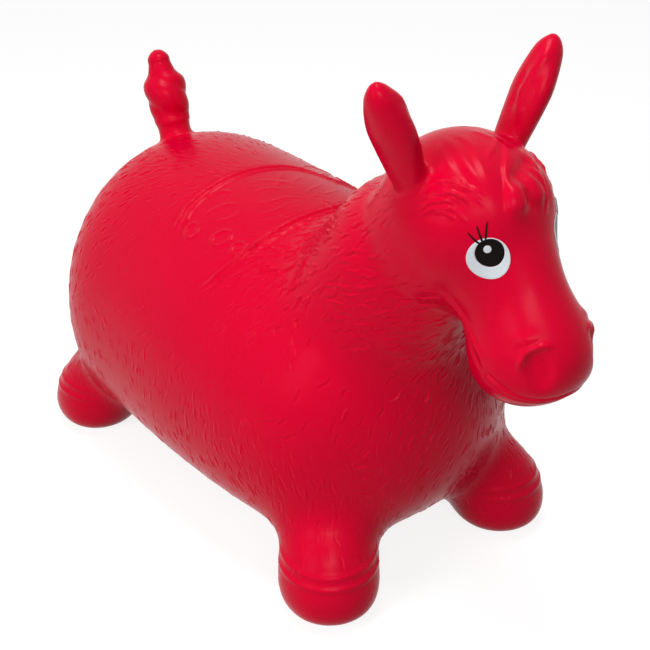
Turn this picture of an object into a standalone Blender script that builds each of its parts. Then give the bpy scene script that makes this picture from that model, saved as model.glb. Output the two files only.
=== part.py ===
"""Inflatable bouncing horse: a hollow moulded skin with its valve and printed eyes.

The skin is blocked out from swept forms (trunk, neck, legs, skull, muzzle, ears, tail), which are
fused and relaxed in three passes, from the widest fillets to the tightest. It is then made hollow,
with one wall thickness all round, and parted into the zones that flex against each other, with a
fine seam between neighbours. Metres, +Z up. The horse faces -Y, its left is +X,
and the origin is the bottom centre of its bounding box.
"""

from math import cos, hypot, pi, radians, sin

import bmesh
import bpy
import numpy as np
from mathutils import Matrix, Vector
from mathutils.bvhtree import BVHTree

MM = 0.001

# Skin and seams
WALL = 2.2 * MM
SEAM_GAP = 0.3 * MM
CUT_OVERRUN = 20 * MM
CUT_SIZE = 900 * MM

# Trunk, from the rump forwards
TRUNK_LENGTH = 483 * MM
TRUNK_REAR_Y = 250 * MM
TRUNK_HALF_WIDTH = 151 * MM
BACK_HEIGHT = 311 * MM
BELLY_HEIGHT = 28 * MM
RUMP_ROUNDING = 112 * MM
CHEST_ROUNDING = 84 * MM
# Along, half width, top and bottom of each ring, in shares of the trunk's length, half width and depth
TRUNK_RING_shares = (
    (0.00, 0.92, 0.950, 0.030),
    (0.30, 0.98, 1.000, 0.010),
    (0.50, 1.00, 0.985, 0.000),
    (0.68, 0.98, 0.945, 0.000),
    (0.85, 0.89, 0.890, 0.008),
    (1.00, 0.72, 0.840, 0.030),
)
TRUNK_WIDEST_share = 0.42
TRUNK_UPPER_POWER = 2.0
TRUNK_LOWER_POWER = 2.7

# Neck, from inside the shoulders to the poll
NECK_BASE_Y = -80 * MM
NECK_BASE_HEIGHT = 150 * MM
NECK_FORWARD = 128 * MM
NECK_RISE = 212 * MM
NECK_HALF_WIDTH = 104 * MM
NECK_HALF_DEPTH = 90 * MM
NECK_ROUNDING = 50 * MM
# Forward, up, half width and half depth, in shares of the neck's own sizes
NECK_RING_shares = (
    (0.00, 0.00, 0.86, 0.80),
    (0.27, 0.25, 1.00, 1.00),
    (0.54, 0.50, 0.88, 0.87),
    (0.78, 0.74, 0.74, 0.80),
    (1.00, 1.00, 0.62, 0.76),
)

# Legs and feet
SOLE_SPACING = 390 * MM
SOLE_TRACK = 204 * MM
LEG_RADIUS = 46 * MM
LEG_TOP_HEIGHT = 115 * MM
# Outward and lengthwise place, height and radius, in shares of half track, half spacing, height, radius
LEG_RING_shares = (
    (1.00, 1.000, 0.00, 1.04),
    (1.00, 0.995, 0.20, 1.04),
    (0.96, 0.960, 0.40, 1.01),
    (0.79, 0.860, 0.66, 0.83),
    (0.66, 0.780, 1.00, 0.78),
)
SOLE_ROUNDING = 16 * MM
SOLE_SINK = 4 * MM
FOOT_HEIGHT = 26 * MM
LEG_ZONE_RADIUS = 62 * MM
LEG_ZONE_HEIGHT = 98 * MM
RING_HEIGHT = 47 * MM
RING_SPACING = 9 * MM
RING_THICKNESS = 6 * MM
RING_PROUD = 1.6 * MM

# Skull and muzzle
SKULL_Y = -232 * MM
SKULL_HEIGHT = 358 * MM
SKULL_HALF_WIDTH = 65 * MM
SKULL_HALF_LENGTH = 73 * MM
SKULL_HALF_HEIGHT = 66 * MM
MUZZLE_FORWARD = 90 * MM
MUZZLE_DROP = 126 * MM
MUZZLE_HALF_WIDTH = 48 * MM
MUZZLE_HALF_DEPTH = 52 * MM
MUZZLE_ROUNDING = 36 * MM
# Forward and down from the skull's centre, half width and half depth, in shares of the muzzle's sizes
MUZZLE_RING_shares = (
    (0.05, 0.02, 1.10, 1.06),
    (0.34, 0.20, 0.98, 1.04),
    (0.62, 0.42, 0.81, 0.89),
    (0.84, 0.68, 0.98, 0.98),
    (1.00, 1.00, 0.98, 0.92),
)

# Ears
EAR_ROOT_X = 44 * MM
EAR_ROOT_Y = -221 * MM
EAR_ROOT_HEIGHT = 383 * MM
EAR_LENGTH = 108 * MM
EAR_SPLAY = 26
EAR_HALF_WIDTH = 23 * MM
EAR_HALF_THICKNESS = 14 * MM
EAR_ROUNDING = 22 * MM
EAR_TURN = 14
EAR_LEAN_share = 0.06
# Along, half width and half thickness, in shares of the ear's length, half width and half thickness
EAR_RING_shares = (
    (0.00, 0.60, 0.80),
    (0.25, 0.76, 0.92),
    (0.55, 1.00, 1.00),
    (0.80, 0.86, 0.86),
    (1.00, 0.60, 0.66),
)
EAR_PIVOT_RISE = 8 * MM
EAR_SEAM_SPLAY = 54
EAR_SEAM_LIFT = 13 * MM
EAR_SEAM_MARGIN = 1 * MM

# Tail
TAIL_ROOT_INSET = 82 * MM
TAIL_ROOT_DEPTH = 28 * MM
TAIL_LENGTH = 102 * MM
TAIL_LEAN = 18.5
TAIL_RADIUS = 20.5 * MM
TAIL_ROUNDING = 16 * MM
# Along and radius, in shares of the tail's length and radius: the lumps of its plait
TAIL_RING_shares = (
    (0.00, 0.84),
    (0.22, 0.74),
    (0.42, 0.98),
    (0.54, 0.88),
    (0.68, 1.00),
    (0.80, 0.80),
    (0.92, 0.74),
    (1.00, 0.62),
)
TAIL_PIVOT_RISE = 10 * MM
TAIL_SEAM_LIFT = 13 * MM
TAIL_SEAM_MARGIN = 4 * MM

# Forelock
LOCK_RADIUS = 13 * MM
LOCK_LIFT_share = 0.84
LOCK_TAPER_shares = (0.7, 1.0, 1.0, 1.05, 1.0)
# Out from the middle, start and finish round the skull in quarter turns, sway outwards, radius
FORELOCK_shares = (
    (0.10, -0.10, 0.62, 0.06, 1.00),
    (0.16, -0.05, 0.58, 0.34, 1.00),
)

# Seams between the zones of the skin
NECK_SEAM_Y = -155 * MM
NECK_SEAM_HEIGHT = 250 * MM
NECK_SEAM_TILT = 35.5
HEAD_SEAM_Y = -205 * MM
HEAD_SEAM_HEIGHT = 308 * MM
HEAD_SEAM_TILT = 52

# Valve in the belly
VALVE_Y = 20 * MM
SEAT_RADIUS = 11 * MM
SEAT_NECK_RADIUS = 7.5 * MM
SEAT_FLANGE = 2.4 * MM
SEAT_HEIGHT = 11 * MM
BORE_RADIUS = 4.3 * MM
RECESS_DEPTH = 1.4 * MM
PLUG_HEAD_RADIUS = 8 * MM
PLUG_HEAD_THICKNESS = 1.8 * MM
PLUG_LENGTH = 13 * MM
PLUG_CLEARANCE = 0.3 * MM
PLUG_RIB_DEPTH = 0.5 * MM
PLUG_TIP_INSET = 1 * MM
PLUG_RIB_COUNT = 3

# Printed eyes, lying on the skin
EYE_OUTWARD = 33
EYE_RISE = -2
EYE_RADIUS = 16.8 * MM
PUPIL_RADIUS = 10.7 * MM
PUPIL_UP = 4.2 * MM
PUPIL_FORWARD = 1 * MM
HIGHLIGHT_RADIUS = 2.9 * MM
HIGHLIGHT_UP = 7 * MM
HIGHLIGHT_FORWARD = -0.7 * MM
PRINT_GAP = 0.3 * MM
PRINT_THICKNESS = 0.6 * MM
PRINT_REACH = 130 * MM
LASH_LENGTH = 12.5 * MM
LASH_WIDTH = 1.6 * MM
LASH_BEND = 2 * MM
LASH_TIP_share = 0.4
LASH_ANGLES = (88, 112, 138)

# Fineness of the meshes
COARSE_VOXEL = 5 * MM
FINE_VOXEL = 3.2 * MM
MERGE = 0.01 * MM
BODY_PASS_COUNT = 90
HEAD_PASS_COUNT = 16
DETAIL_PASS_COUNT = 6
RELAX_share = 0.5
SKIN_TRIANGLE_COUNT = 3300
FORM_RING_COUNT = 44
FORM_POINT_COUNT = 48
ROUND_POINT_COUNT = 40
PRINT_POINT_COUNT = 24
LASH_POINT_COUNT = 5

SKULL_CENTRE = (0, SKULL_Y, SKULL_HEIGHT)
EAR_ROOT = (EAR_ROOT_X, EAR_ROOT_Y, EAR_ROOT_HEIGHT)
TAIL_ROOT = (0, TRUNK_REAR_Y - TAIL_ROOT_INSET, BACK_HEIGHT - TAIL_ROOT_DEPTH)
SIDES = {"left": 1, "right": -1}
ENDS = {"front": -1, "rear": 1}


def smooth_between(keys, values, places):
    """Values at places on smooth curves through keys, which never overshoot a key's value."""
    keys, values = np.asarray(keys, float), np.asarray(values, float)
    steps = np.diff(keys)[:, None]
    slopes = np.diff(values, axis=0) / steps
    before, after = slopes[:-1], slopes[1:]
    same_way = before * after > 0
    safe = np.where(same_way, before + after, 1.0)
    inner = np.where(same_way, 2.0 * before * after / safe, 0.0)
    tangents = np.vstack([slopes[:1], inner, slopes[-1:]])
    left = np.clip(np.searchsorted(keys, places, side="right") - 1, 0, len(keys) - 2)
    step = steps[left]
    t = ((places - keys[left]) / step[:, 0])[:, None]
    return ((2 * t**3 - 3 * t**2 + 1) * values[left] + (t**3 - 2 * t**2 + t) * step * tangents[left]
            + (3 * t**2 - 2 * t**3) * values[left + 1] + (t**3 - t**2) * step * tangents[left + 1])


def swept_form(name, centres, half_widths, rises, drops, side, roundings, powers=(2.0, 2.0)):
    """A closed form of oval rings swept along a smooth path, with a rounded end at each pole.

    side is the direction of the rings' width. rises and drops are each ring's half depths above
    and below its widest line, and powers are the matching powers of its superellipse.
    """
    rings, points = FORM_RING_COUNT, FORM_POINT_COUNT
    runs = np.linalg.norm(np.diff(centres, axis=0), axis=1)
    keys = np.concatenate([[0.0], np.cumsum(runs)])
    length = keys[-1]
    along = (1 - np.cos(np.linspace(0, pi, rings + 2)[1:-1])) / 2 * length
    path = smooth_between(keys, centres, along)
    sizes = smooth_between(keys, np.column_stack([half_widths, rises, drops]), along)
    for from_end, rounding in ((along, roundings[0]), (length - along, roundings[1])):
        short = np.clip(1 - from_end / rounding, 0, 1)
        sizes = sizes * np.sqrt(1 - short**2)[:, None]
    ahead = np.gradient(path, along, axis=0)
    ahead /= np.linalg.norm(ahead, axis=1)[:, None]
    across = np.asarray(side, float) - (ahead @ np.asarray(side, float))[:, None] * ahead
    across /= np.linalg.norm(across, axis=1)[:, None]
    upward = np.cross(ahead, across)
    turn = np.linspace(0, 2 * pi, points, endpoint=False)
    power = np.where(np.sin(turn) >= 0, powers[0], powers[1])
    out = np.sign(np.cos(turn)) * np.abs(np.cos(turn)) ** (2 / power)
    up = np.sign(np.sin(turn)) * np.abs(np.sin(turn)) ** (2 / power)
    depth = np.where(up >= 0, sizes[:, 1:2], sizes[:, 2:3])
    ring_points = (path[:, None] + across[:, None] * (out * sizes[:, 0:1])[..., None]
                   + upward[:, None] * (up * depth)[..., None])
    vertices = np.vstack([ring_points.reshape(-1, 3), centres[:1], centres[-1:]])
    start, end = rings * points, rings * points + 1
    faces = []
    for ring in range(rings - 1):
        for point in range(points):
            after = (point + 1) % points
            faces.append((ring * points + point, ring * points + after,
                          (ring + 1) * points + after, (ring + 1) * points + point))
    last = (rings - 1) * points
    for point in range(points):
        after = (point + 1) % points
        faces.append((start, after, point))
        faces.append((end, last + point, last + after))
    mesh = bpy.data.meshes.new(name)
    mesh.from_pydata(vertices.tolist(), [], faces)
    work = bmesh.new()
    work.from_mesh(mesh)
    bmesh.ops.recalc_face_normals(work, faces=work.faces)
    return mesh_from(name, work)


def mesh_from(name, work):
    """A mesh from a finished working mesh."""
    mesh = bpy.data.meshes.new(name)
    work.to_mesh(mesh)
    work.free()
    return mesh


def cylinder(name, radius, height):
    """An upright cylinder round the origin."""
    work = bmesh.new()
    bmesh.ops.create_cone(work, cap_ends=True, segments=ROUND_POINT_COUNT, radius1=radius, radius2=radius,
                          depth=height)
    return mesh_from(name, work)


def ball(name, radius):
    """A ball round the origin."""
    work = bmesh.new()
    bmesh.ops.create_uvsphere(work, u_segments=ROUND_POINT_COUNT, v_segments=ROUND_POINT_COUNT // 2,
                              radius=radius)
    return mesh_from(name, work)


def prism(name, outline, height):
    """A flat outline carried up from the level of the origin."""
    work = bmesh.new()
    face = work.faces.new([work.verts.new((x, y, 0)) for x, y in outline])
    solid = bmesh.ops.extrude_face_region(work, geom=[face])
    top = [item for item in solid["geom"] if isinstance(item, bmesh.types.BMVert)]
    bmesh.ops.translate(work, verts=top, vec=(0, 0, height))
    bmesh.ops.recalc_face_normals(work, faces=work.faces)
    return mesh_from(name, work)


def fused(name, meshes, voxel, passes):
    """One mesh from overlapping closed ones: a voxel union, relaxed until its creases are fillets."""
    work = bmesh.new()
    for mesh in meshes:
        work.from_mesh(mesh)
    body = bpy.data.objects.new(name, mesh_from(name, work))
    cutters.objects.link(body)
    remesh = body.modifiers.new("union", "REMESH")
    remesh.mode = "VOXEL"
    remesh.voxel_size = voxel
    relax = body.modifiers.new("fillets", "SMOOTH")
    relax.factor = RELAX_share
    relax.iterations = passes
    return finished(body)


def finished(body):
    """The mesh of an object as its modifiers leave it; the object itself is removed."""
    graph = bpy.context.evaluated_depsgraph_get()
    mesh = bpy.data.meshes.new_from_object(body.evaluated_get(graph))
    bpy.data.objects.remove(body)
    return mesh


def mirrored(mesh):
    """A copy of a mesh on the other side of the middle plane."""
    other = mesh.copy()
    other.transform(Matrix.Scale(-1, 4, (1, 0, 0)))
    other.flip_normals()
    return other


def thinned(mesh, triangles):
    """The same surface in fewer triangles, exactly alike on both sides of the middle plane."""
    body = bpy.data.objects.new(mesh.name, mesh)
    cutters.objects.link(body)
    mesh.calc_loop_triangles()
    thin = body.modifiers.new("thin", "DECIMATE")
    thin.ratio = triangles / len(mesh.loop_triangles)
    mirror = body.modifiers.new("mirror", "MIRROR")
    mirror.use_bisect_axis[0] = True
    mirror.merge_threshold = MERGE
    mirror.bisect_threshold = MERGE
    return finished(body)


def trunk():
    """The barrel of the body, from the rump to the chest, fuller below than above."""
    along, width, top, bottom = np.array(TRUNK_RING_shares).T
    depth = BACK_HEIGHT - BELLY_HEIGHT
    high = BELLY_HEIGHT + top * depth
    low = BELLY_HEIGHT + bottom * depth
    middle = low + TRUNK_WIDEST_share * (high - low)
    centres = np.column_stack([np.zeros(len(along)), TRUNK_REAR_Y - along * TRUNK_LENGTH, middle])
    return swept_form("trunk", centres, width * TRUNK_HALF_WIDTH, high - middle, middle - low, (1, 0, 0),
                      (RUMP_ROUNDING, CHEST_ROUNDING), (TRUNK_UPPER_POWER, TRUNK_LOWER_POWER))


def neck():
    """The neck, rising forwards out of the shoulders to the poll."""
    forward, up, width, depth = np.array(NECK_RING_shares).T
    centres = np.column_stack([np.zeros(len(up)), NECK_BASE_Y - forward * NECK_FORWARD,
                               NECK_BASE_HEIGHT + up * NECK_RISE])
    depths = depth * NECK_HALF_DEPTH
    return swept_form("neck", centres, width * NECK_HALF_WIDTH, depths, depths, (1, 0, 0),
                      (NECK_ROUNDING, NECK_ROUNDING))


def leg(side, end):
    """One stub leg, splayed out and along to its sole. side is 1 on the left, end is 1 at the rear."""
    outward, lengthwise, height, radius = np.array(LEG_RING_shares).T
    centres = np.column_stack([side * outward * SOLE_TRACK / 2, end * lengthwise * SOLE_SPACING / 2,
                               height * LEG_TOP_HEIGHT - SOLE_SINK])
    radii = radius * LEG_RADIUS
    return swept_form("leg", centres, radii, radii, radii, (1, 0, 0), (SOLE_ROUNDING, LEG_RADIUS))


def leg_rings(side, end):
    """The two raised bands moulded round a leg above its foot."""
    outward, lengthwise, height, _ = np.array(LEG_RING_shares).T
    bands = []
    for band_height in (RING_HEIGHT, RING_HEIGHT + RING_SPACING):
        share = band_height / LEG_TOP_HEIGHT
        x = side * np.interp(share, height, outward) * SOLE_TRACK / 2
        y = end * np.interp(share, height, lengthwise) * SOLE_SPACING / 2
        band = cylinder("band", LEG_RADIUS + RING_PROUD, RING_THICKNESS)
        band.transform(Matrix.Translation((x, y, band_height)))
        bands.append(band)
    return bands


def skull():
    """The rounded back of the head."""
    mesh = ball("skull", 1)
    size = Matrix.Diagonal((SKULL_HALF_WIDTH, SKULL_HALF_LENGTH, SKULL_HALF_HEIGHT, 1))
    mesh.transform(Matrix.Translation(SKULL_CENTRE) @ size)
    return mesh


def muzzle():
    """The face, from inside the skull down and forwards to a full nose and chin."""
    forward, down, width, depth = np.array(MUZZLE_RING_shares).T
    centres = np.column_stack([np.zeros(len(down)), SKULL_Y - forward * MUZZLE_FORWARD,
                               SKULL_HEIGHT - down * MUZZLE_DROP])
    depths = depth * MUZZLE_HALF_DEPTH
    return swept_form("muzzle", centres, width * MUZZLE_HALF_WIDTH, depths, depths, (1, 0, 0),
                      (MUZZLE_ROUNDING, MUZZLE_ROUNDING))


def ear_direction():
    """The way the left ear points, out from its root."""
    return Vector((sin(radians(EAR_SPLAY)), -EAR_LEAN_share, cos(radians(EAR_SPLAY)))).normalized()


def left_ear():
    """The left ear, a leaf that is broadest above its middle, turned a little to the front."""
    along, width, thickness = np.array(EAR_RING_shares).T
    centres = np.array(EAR_ROOT) + along[:, None] * EAR_LENGTH * np.array(ear_direction())
    depths = thickness * EAR_HALF_THICKNESS
    broad = (sin(radians(EAR_TURN)), cos(radians(EAR_TURN)), 0)
    return swept_form("ear", centres, width * EAR_HALF_WIDTH, depths, depths, broad,
                      (EAR_ROUNDING, EAR_ROUNDING))


def tail_direction():
    """The way the tail points, up and a little back."""
    return Vector((0, sin(radians(TAIL_LEAN)), cos(radians(TAIL_LEAN))))


def tail():
    """The plaited tail, standing on the rump."""
    along, radius = np.array(TAIL_RING_shares).T
    centres = np.array(TAIL_ROOT) + along[:, None] * TAIL_LENGTH * np.array(tail_direction())
    radii = radius * TAIL_RADIUS
    return swept_form("tail", centres, radii, radii, radii, (1, 0, 0), (TAIL_ROUNDING, TAIL_ROUNDING))


def left_locks():
    """The forelock's locks on the left half: fat curls combed down from between the ears."""
    radii = np.array(LOCK_TAPER_shares) * LOCK_RADIUS
    down = np.linspace(0, 1, len(radii))
    locks = []
    for out, start, finish, sway, radius in FORELOCK_shares:
        turn = (start + (finish - start) * down) * pi / 2
        reach = np.column_stack([
            (out + sway * down) * SKULL_HALF_WIDTH,
            -np.sin(turn) * SKULL_HALF_LENGTH * LOCK_LIFT_share,
            np.cos(turn) * SKULL_HALF_HEIGHT * LOCK_LIFT_share])
        thick = radius * radii
        locks.append(swept_form("lock", np.array(SKULL_CENTRE) + reach, thick, thick, thick, (1, 0, 0),
                                (LOCK_RADIUS, LOCK_RADIUS)))
    return locks


def outer_surface():
    """The outside of the whole skin, fused in three passes."""
    body_forms = [trunk(), neck()]
    for side in (-1, 1):
        for end in (-1, 1):
            body_forms.append(leg(side, end))
    body = fused("body", body_forms, COARSE_VOXEL, BODY_PASS_COUNT)
    headed = fused("headed", [body, skull(), muzzle()], COARSE_VOXEL, HEAD_PASS_COUNT)
    ear, locks = left_ear(), left_locks()
    details = [headed, ear, mirrored(ear), tail()]
    for lock in locks:
        details += [lock, mirrored(lock)]
    for side in (-1, 1):
        for end in (-1, 1):
            details += leg_rings(side, end)
    return fused("outside", details, FINE_VOXEL, DETAIL_PASS_COUNT)


def collection(name):
    """A new collection in the scene."""
    group = bpy.data.collections.new(name)
    bpy.context.scene.collection.children.link(group)
    return group


def cutter(name, mesh, matrix=None):
    """A hidden shape that parts the skin."""
    shape = bpy.data.objects.new(name, mesh)
    shape.display_type = "WIRE"
    shape.hide_render = True
    shape.parent = horse
    shape.matrix_local = matrix or Matrix.Identity(4)
    cutters.objects.link(shape)
    return shape


def round_cutter(name, radius, low, high, x, y):
    """An upright cylinder between two heights."""
    return cutter(name, cylinder(name, radius, high - low), Matrix.Translation((x, y, (low + high) / 2)))


def block_cutter(name, size, place, upward, shift=0.0):
    """A block standing on the plane through a place, on the side that upward points to."""
    work = bmesh.new()
    bmesh.ops.create_cube(work, size=1)
    mesh = mesh_from(name, work)
    mesh.transform(Matrix.Scale(size, 4) @ Matrix.Translation((0, 0, 0.5)))
    turn = Vector((0, 0, 1)).rotation_difference(Vector(upward)).to_matrix().to_4x4()
    foot = Vector(place) + Vector(upward).normalized() * shift
    return cutter(name, mesh, Matrix.Translation(foot) @ turn)


def cut(body, operation, other):
    """Add one Boolean to an object."""
    modifier = body.modifiers.new(other.name, "BOOLEAN")
    modifier.operation = operation
    modifier.object = other
    return modifier


def material(name, colour, roughness):
    """A plain plastic finish."""
    finish = bpy.data.materials.new(name)
    finish.use_nodes = True
    shader = finish.node_tree.nodes["Principled BSDF"]
    shader.inputs["Base Color"].default_value = (*colour, 1)
    shader.inputs["Roughness"].default_value = roughness
    return finish


def piece(name, mesh, pivot, finish):
    """One named part whose origin is at its pivot."""
    own = mesh.copy()
    own.name = name
    own.transform(Matrix.Translation(-Vector(pivot)))
    own.materials.clear()
    own.materials.append(finish)
    own.shade_smooth()
    body = bpy.data.objects.new(name, own)
    body.parent = horse
    body.location = pivot
    parts.objects.link(body)
    return body


def skin_zone(name, pivot=(0, 0, 0), keep=(), remove=()):
    """The stretch of the hollow skin inside every kept cutter and outside every removed one."""
    body = piece(name, hollow_skin, pivot, skin_red)
    for other in keep:
        cut(body, "INTERSECT", other)
    for other in remove:
        cut(body, "DIFFERENCE", other)
    return body


def tilted(tilt):
    """The way up and forwards that a seam plane tilted by this many degrees faces."""
    return (0, -sin(radians(tilt)), cos(radians(tilt)))


def make_hollow_skin(outside):
    """The outside with its soles cut flat, and the hollow skin one wall thick inside it."""
    ground = block_cutter("ground", CUT_SIZE, (0, 0, 0), (0, 0, -1))
    solid = bpy.data.objects.new("solid", thinned(outside, SKIN_TRIANGLE_COUNT))
    cutters.objects.link(solid)
    cut(solid, "DIFFERENCE", ground)
    outline = finished(solid)
    shell = bpy.data.objects.new("shell", outline.copy())
    cutters.objects.link(shell)
    wall = shell.modifiers.new("wall", "SOLIDIFY")
    wall.thickness = WALL
    wall.offset = -1
    hollow = finished(shell)
    bpy.data.objects.remove(ground)
    return hollow, outline


def hinge_space(name, pivot, upward, lift, reach, size, slack):
    """The space of an ear or the tail: all above a plane over its pivot and outside a ball round it."""
    socket = cutter(name + "_ball", ball(name, hypot(reach, lift) + slack), Matrix.Translation(pivot))
    block = block_cutter(name, size, pivot, upward, lift + slack)
    cut(block, "DIFFERENCE", socket)
    return block


def make_zones(outside):
    """Part the skin along its seams. The level of the skin at the valve is handed back."""
    neck_at, neck_way = (0, NECK_SEAM_Y, NECK_SEAM_HEIGHT), tilted(NECK_SEAM_TILT)
    head_at, head_way = (0, HEAD_SEAM_Y, HEAD_SEAM_HEIGHT), tilted(HEAD_SEAM_TILT)
    past_neck = block_cutter("past_neck", CUT_SIZE, neck_at, neck_way)
    past_neck_seam = block_cutter("past_neck_seam", CUT_SIZE, neck_at, neck_way, SEAM_GAP)
    past_head = block_cutter("past_head", CUT_SIZE, head_at, head_way)
    past_head_seam = block_cutter("past_head_seam", CUT_SIZE, head_at, head_way, SEAM_GAP)

    removed_from_trunk = [past_neck]
    for end_name, end in ENDS.items():
        for side_name, side in SIDES.items():
            x, y = side * SOLE_TRACK / 2, end * SOLE_SPACING / 2
            label = end_name + "_" + side_name
            removed_from_trunk.append(round_cutter("around_leg_" + label, LEG_ZONE_RADIUS + SEAM_GAP,
                                                   -CUT_OVERRUN, LEG_ZONE_HEIGHT + SEAM_GAP, x, y))
            leg_space = round_cutter("leg_space_" + label, LEG_ZONE_RADIUS, FOOT_HEIGHT + SEAM_GAP,
                                     LEG_ZONE_HEIGHT, x, y)
            foot_space = round_cutter("foot_space_" + label, LEG_ZONE_RADIUS, -CUT_OVERRUN,
                                      FOOT_HEIGHT, x, y)
            skin_zone("leg_" + label, (x, y, FOOT_HEIGHT), keep=[leg_space])
            skin_zone("foot_" + label, (x, y, 0), keep=[foot_space])

    tail_pivot = Vector(TAIL_ROOT) + tail_direction() * TAIL_PIVOT_RISE
    tail_sizes = (TAIL_SEAM_LIFT, TAIL_RADIUS + TAIL_SEAM_MARGIN, TAIL_LENGTH)
    tail_hole = hinge_space("tail_hole", tail_pivot, tail_direction(), *tail_sizes, 0)
    tail_space = hinge_space("tail_space", tail_pivot, tail_direction(), *tail_sizes, SEAM_GAP)
    skin_zone("tail", tail_pivot, keep=[tail_space])
    removed_from_trunk.append(tail_hole)

    level = skin_level(outside, 0, VALVE_Y)
    removed_from_trunk.append(round_cutter("valve_hole", SEAT_RADIUS + SEAM_GAP, level - CUT_OVERRUN,
                                           level + CUT_OVERRUN, 0, VALVE_Y))
    skin_zone("trunk", remove=removed_from_trunk)
    skin_zone("neck", keep=[past_neck_seam], remove=[past_head])

    ear_holes = []
    ear_sizes = (EAR_SEAM_LIFT, EAR_HALF_WIDTH + EAR_SEAM_MARGIN, EAR_LENGTH)
    for side_name, side in SIDES.items():
        pivot = Vector(EAR_ROOT) + ear_direction() * EAR_PIVOT_RISE
        pivot.x *= side
        way = (side * sin(radians(EAR_SEAM_SPLAY)), 0, cos(radians(EAR_SEAM_SPLAY)))
        hole = hinge_space("ear_hole_" + side_name, pivot, way, *ear_sizes, 0)
        space = hinge_space("ear_space_" + side_name, pivot, way, *ear_sizes, SEAM_GAP)
        skin_zone("ear_" + side_name, pivot, keep=[space])
        ear_holes.append(hole)
    skin_zone("head", keep=[past_head_seam], remove=ear_holes)
    return level


def skin_level(outside, x, y):
    """How high the skin is above the floor over one point."""
    tree = BVHTree.FromPolygons([vertex.co for vertex in outside.vertices],
                                [polygon.vertices for polygon in outside.polygons])
    return tree.ray_cast(Vector((x, y, -CUT_OVERRUN)), Vector((0, 0, 1)))[0].z


def turned(name, profile, place, finish):
    """A turned part from its outline, given as radius and height from the bottom of the axis up."""
    mesh = bpy.data.meshes.new(name)
    points = [(radius, 0, height) for radius, height in profile]
    mesh.from_pydata(points, [(i, i + 1) for i in range(len(points) - 1)], [])
    body = piece(name, mesh, (0, 0, 0), finish)
    body.location = place
    screw = body.modifiers.new("turn", "SCREW")
    screw.steps = PRINT_POINT_COUNT
    screw.render_steps = PRINT_POINT_COUNT
    screw.use_merge_vertices = True
    screw.merge_threshold = MERGE
    return body


def make_valve(level):
    """The seat bonded into the belly and the ribbed stopper pushed up into it."""
    recess_radius = PLUG_HEAD_RADIUS + PLUG_CLEARANCE
    seat_profile = (
        (BORE_RADIUS, SEAT_HEIGHT), (SEAT_NECK_RADIUS, SEAT_HEIGHT), (SEAT_NECK_RADIUS, SEAT_FLANGE),
        (SEAT_RADIUS, SEAT_FLANGE), (SEAT_RADIUS, 0), (recess_radius, 0),
        (recess_radius, RECESS_DEPTH), (BORE_RADIUS, RECESS_DEPTH), (BORE_RADIUS, SEAT_HEIGHT))
    turned("valve_seat", seat_profile, (0, VALVE_Y, level), seat_red)

    shank = BORE_RADIUS - PLUG_CLEARANCE
    head_top = RECESS_DEPTH - PLUG_CLEARANCE
    plug_profile = [(0, head_top - PLUG_HEAD_THICKNESS), (PLUG_HEAD_RADIUS, head_top - PLUG_HEAD_THICKNESS),
                    (PLUG_HEAD_RADIUS, head_top)]
    pitch = (PLUG_LENGTH - head_top) / (PLUG_RIB_COUNT + 1)
    for rib in range(PLUG_RIB_COUNT):
        low = head_top + rib * pitch
        plug_profile += [(shank - PLUG_RIB_DEPTH, low), (shank - PLUG_RIB_DEPTH, low + pitch / 2),
                         (shank, low + pitch / 2), (shank - PLUG_RIB_DEPTH, low + pitch)]
    plug_profile += [(shank - PLUG_TIP_INSET, PLUG_LENGTH), (0, PLUG_LENGTH)]
    turned("valve_plug", plug_profile[::-1], (0, VALVE_Y, level), plug_white)


def print_piece(name, outline, frame, finish, holes=()):
    """A thin print on the skin: an outline carried through it, kept between two offset skins."""
    mesh = prism(name, outline, PRINT_REACH)
    mesh.transform(frame)
    body = piece(name, mesh, SKULL_CENTRE, finish)
    cut(body, "INTERSECT", print_outside)
    cut(body, "DIFFERENCE", print_inside)
    for hole in holes:
        cut(body, "DIFFERENCE", hole)
    return body


def disc(radius, x=0.0, y=0.0):
    """The outline of a round print."""
    turn = np.linspace(0, 2 * pi, PRINT_POINT_COUNT, endpoint=False)
    return np.column_stack([x + radius * np.cos(turn), y + radius * np.sin(turn)])


def lash_outline(angle):
    """A tapering, bent stroke that starts just off the white of the eye."""
    t = np.linspace(0, 1, LASH_POINT_COUNT)
    start = EYE_RADIUS + SEAM_GAP
    out = start + t * LASH_LENGTH
    bend = LASH_BEND * t**2
    half = LASH_WIDTH / 2 * (1 - (1 - LASH_TIP_share) * t)
    edge = np.concatenate([np.column_stack([out, bend - half]), np.column_stack([out, bend + half])[::-1]])
    turn = radians(angle)
    return edge @ np.array([[cos(turn), sin(turn)], [-sin(turn), cos(turn)]])


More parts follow.
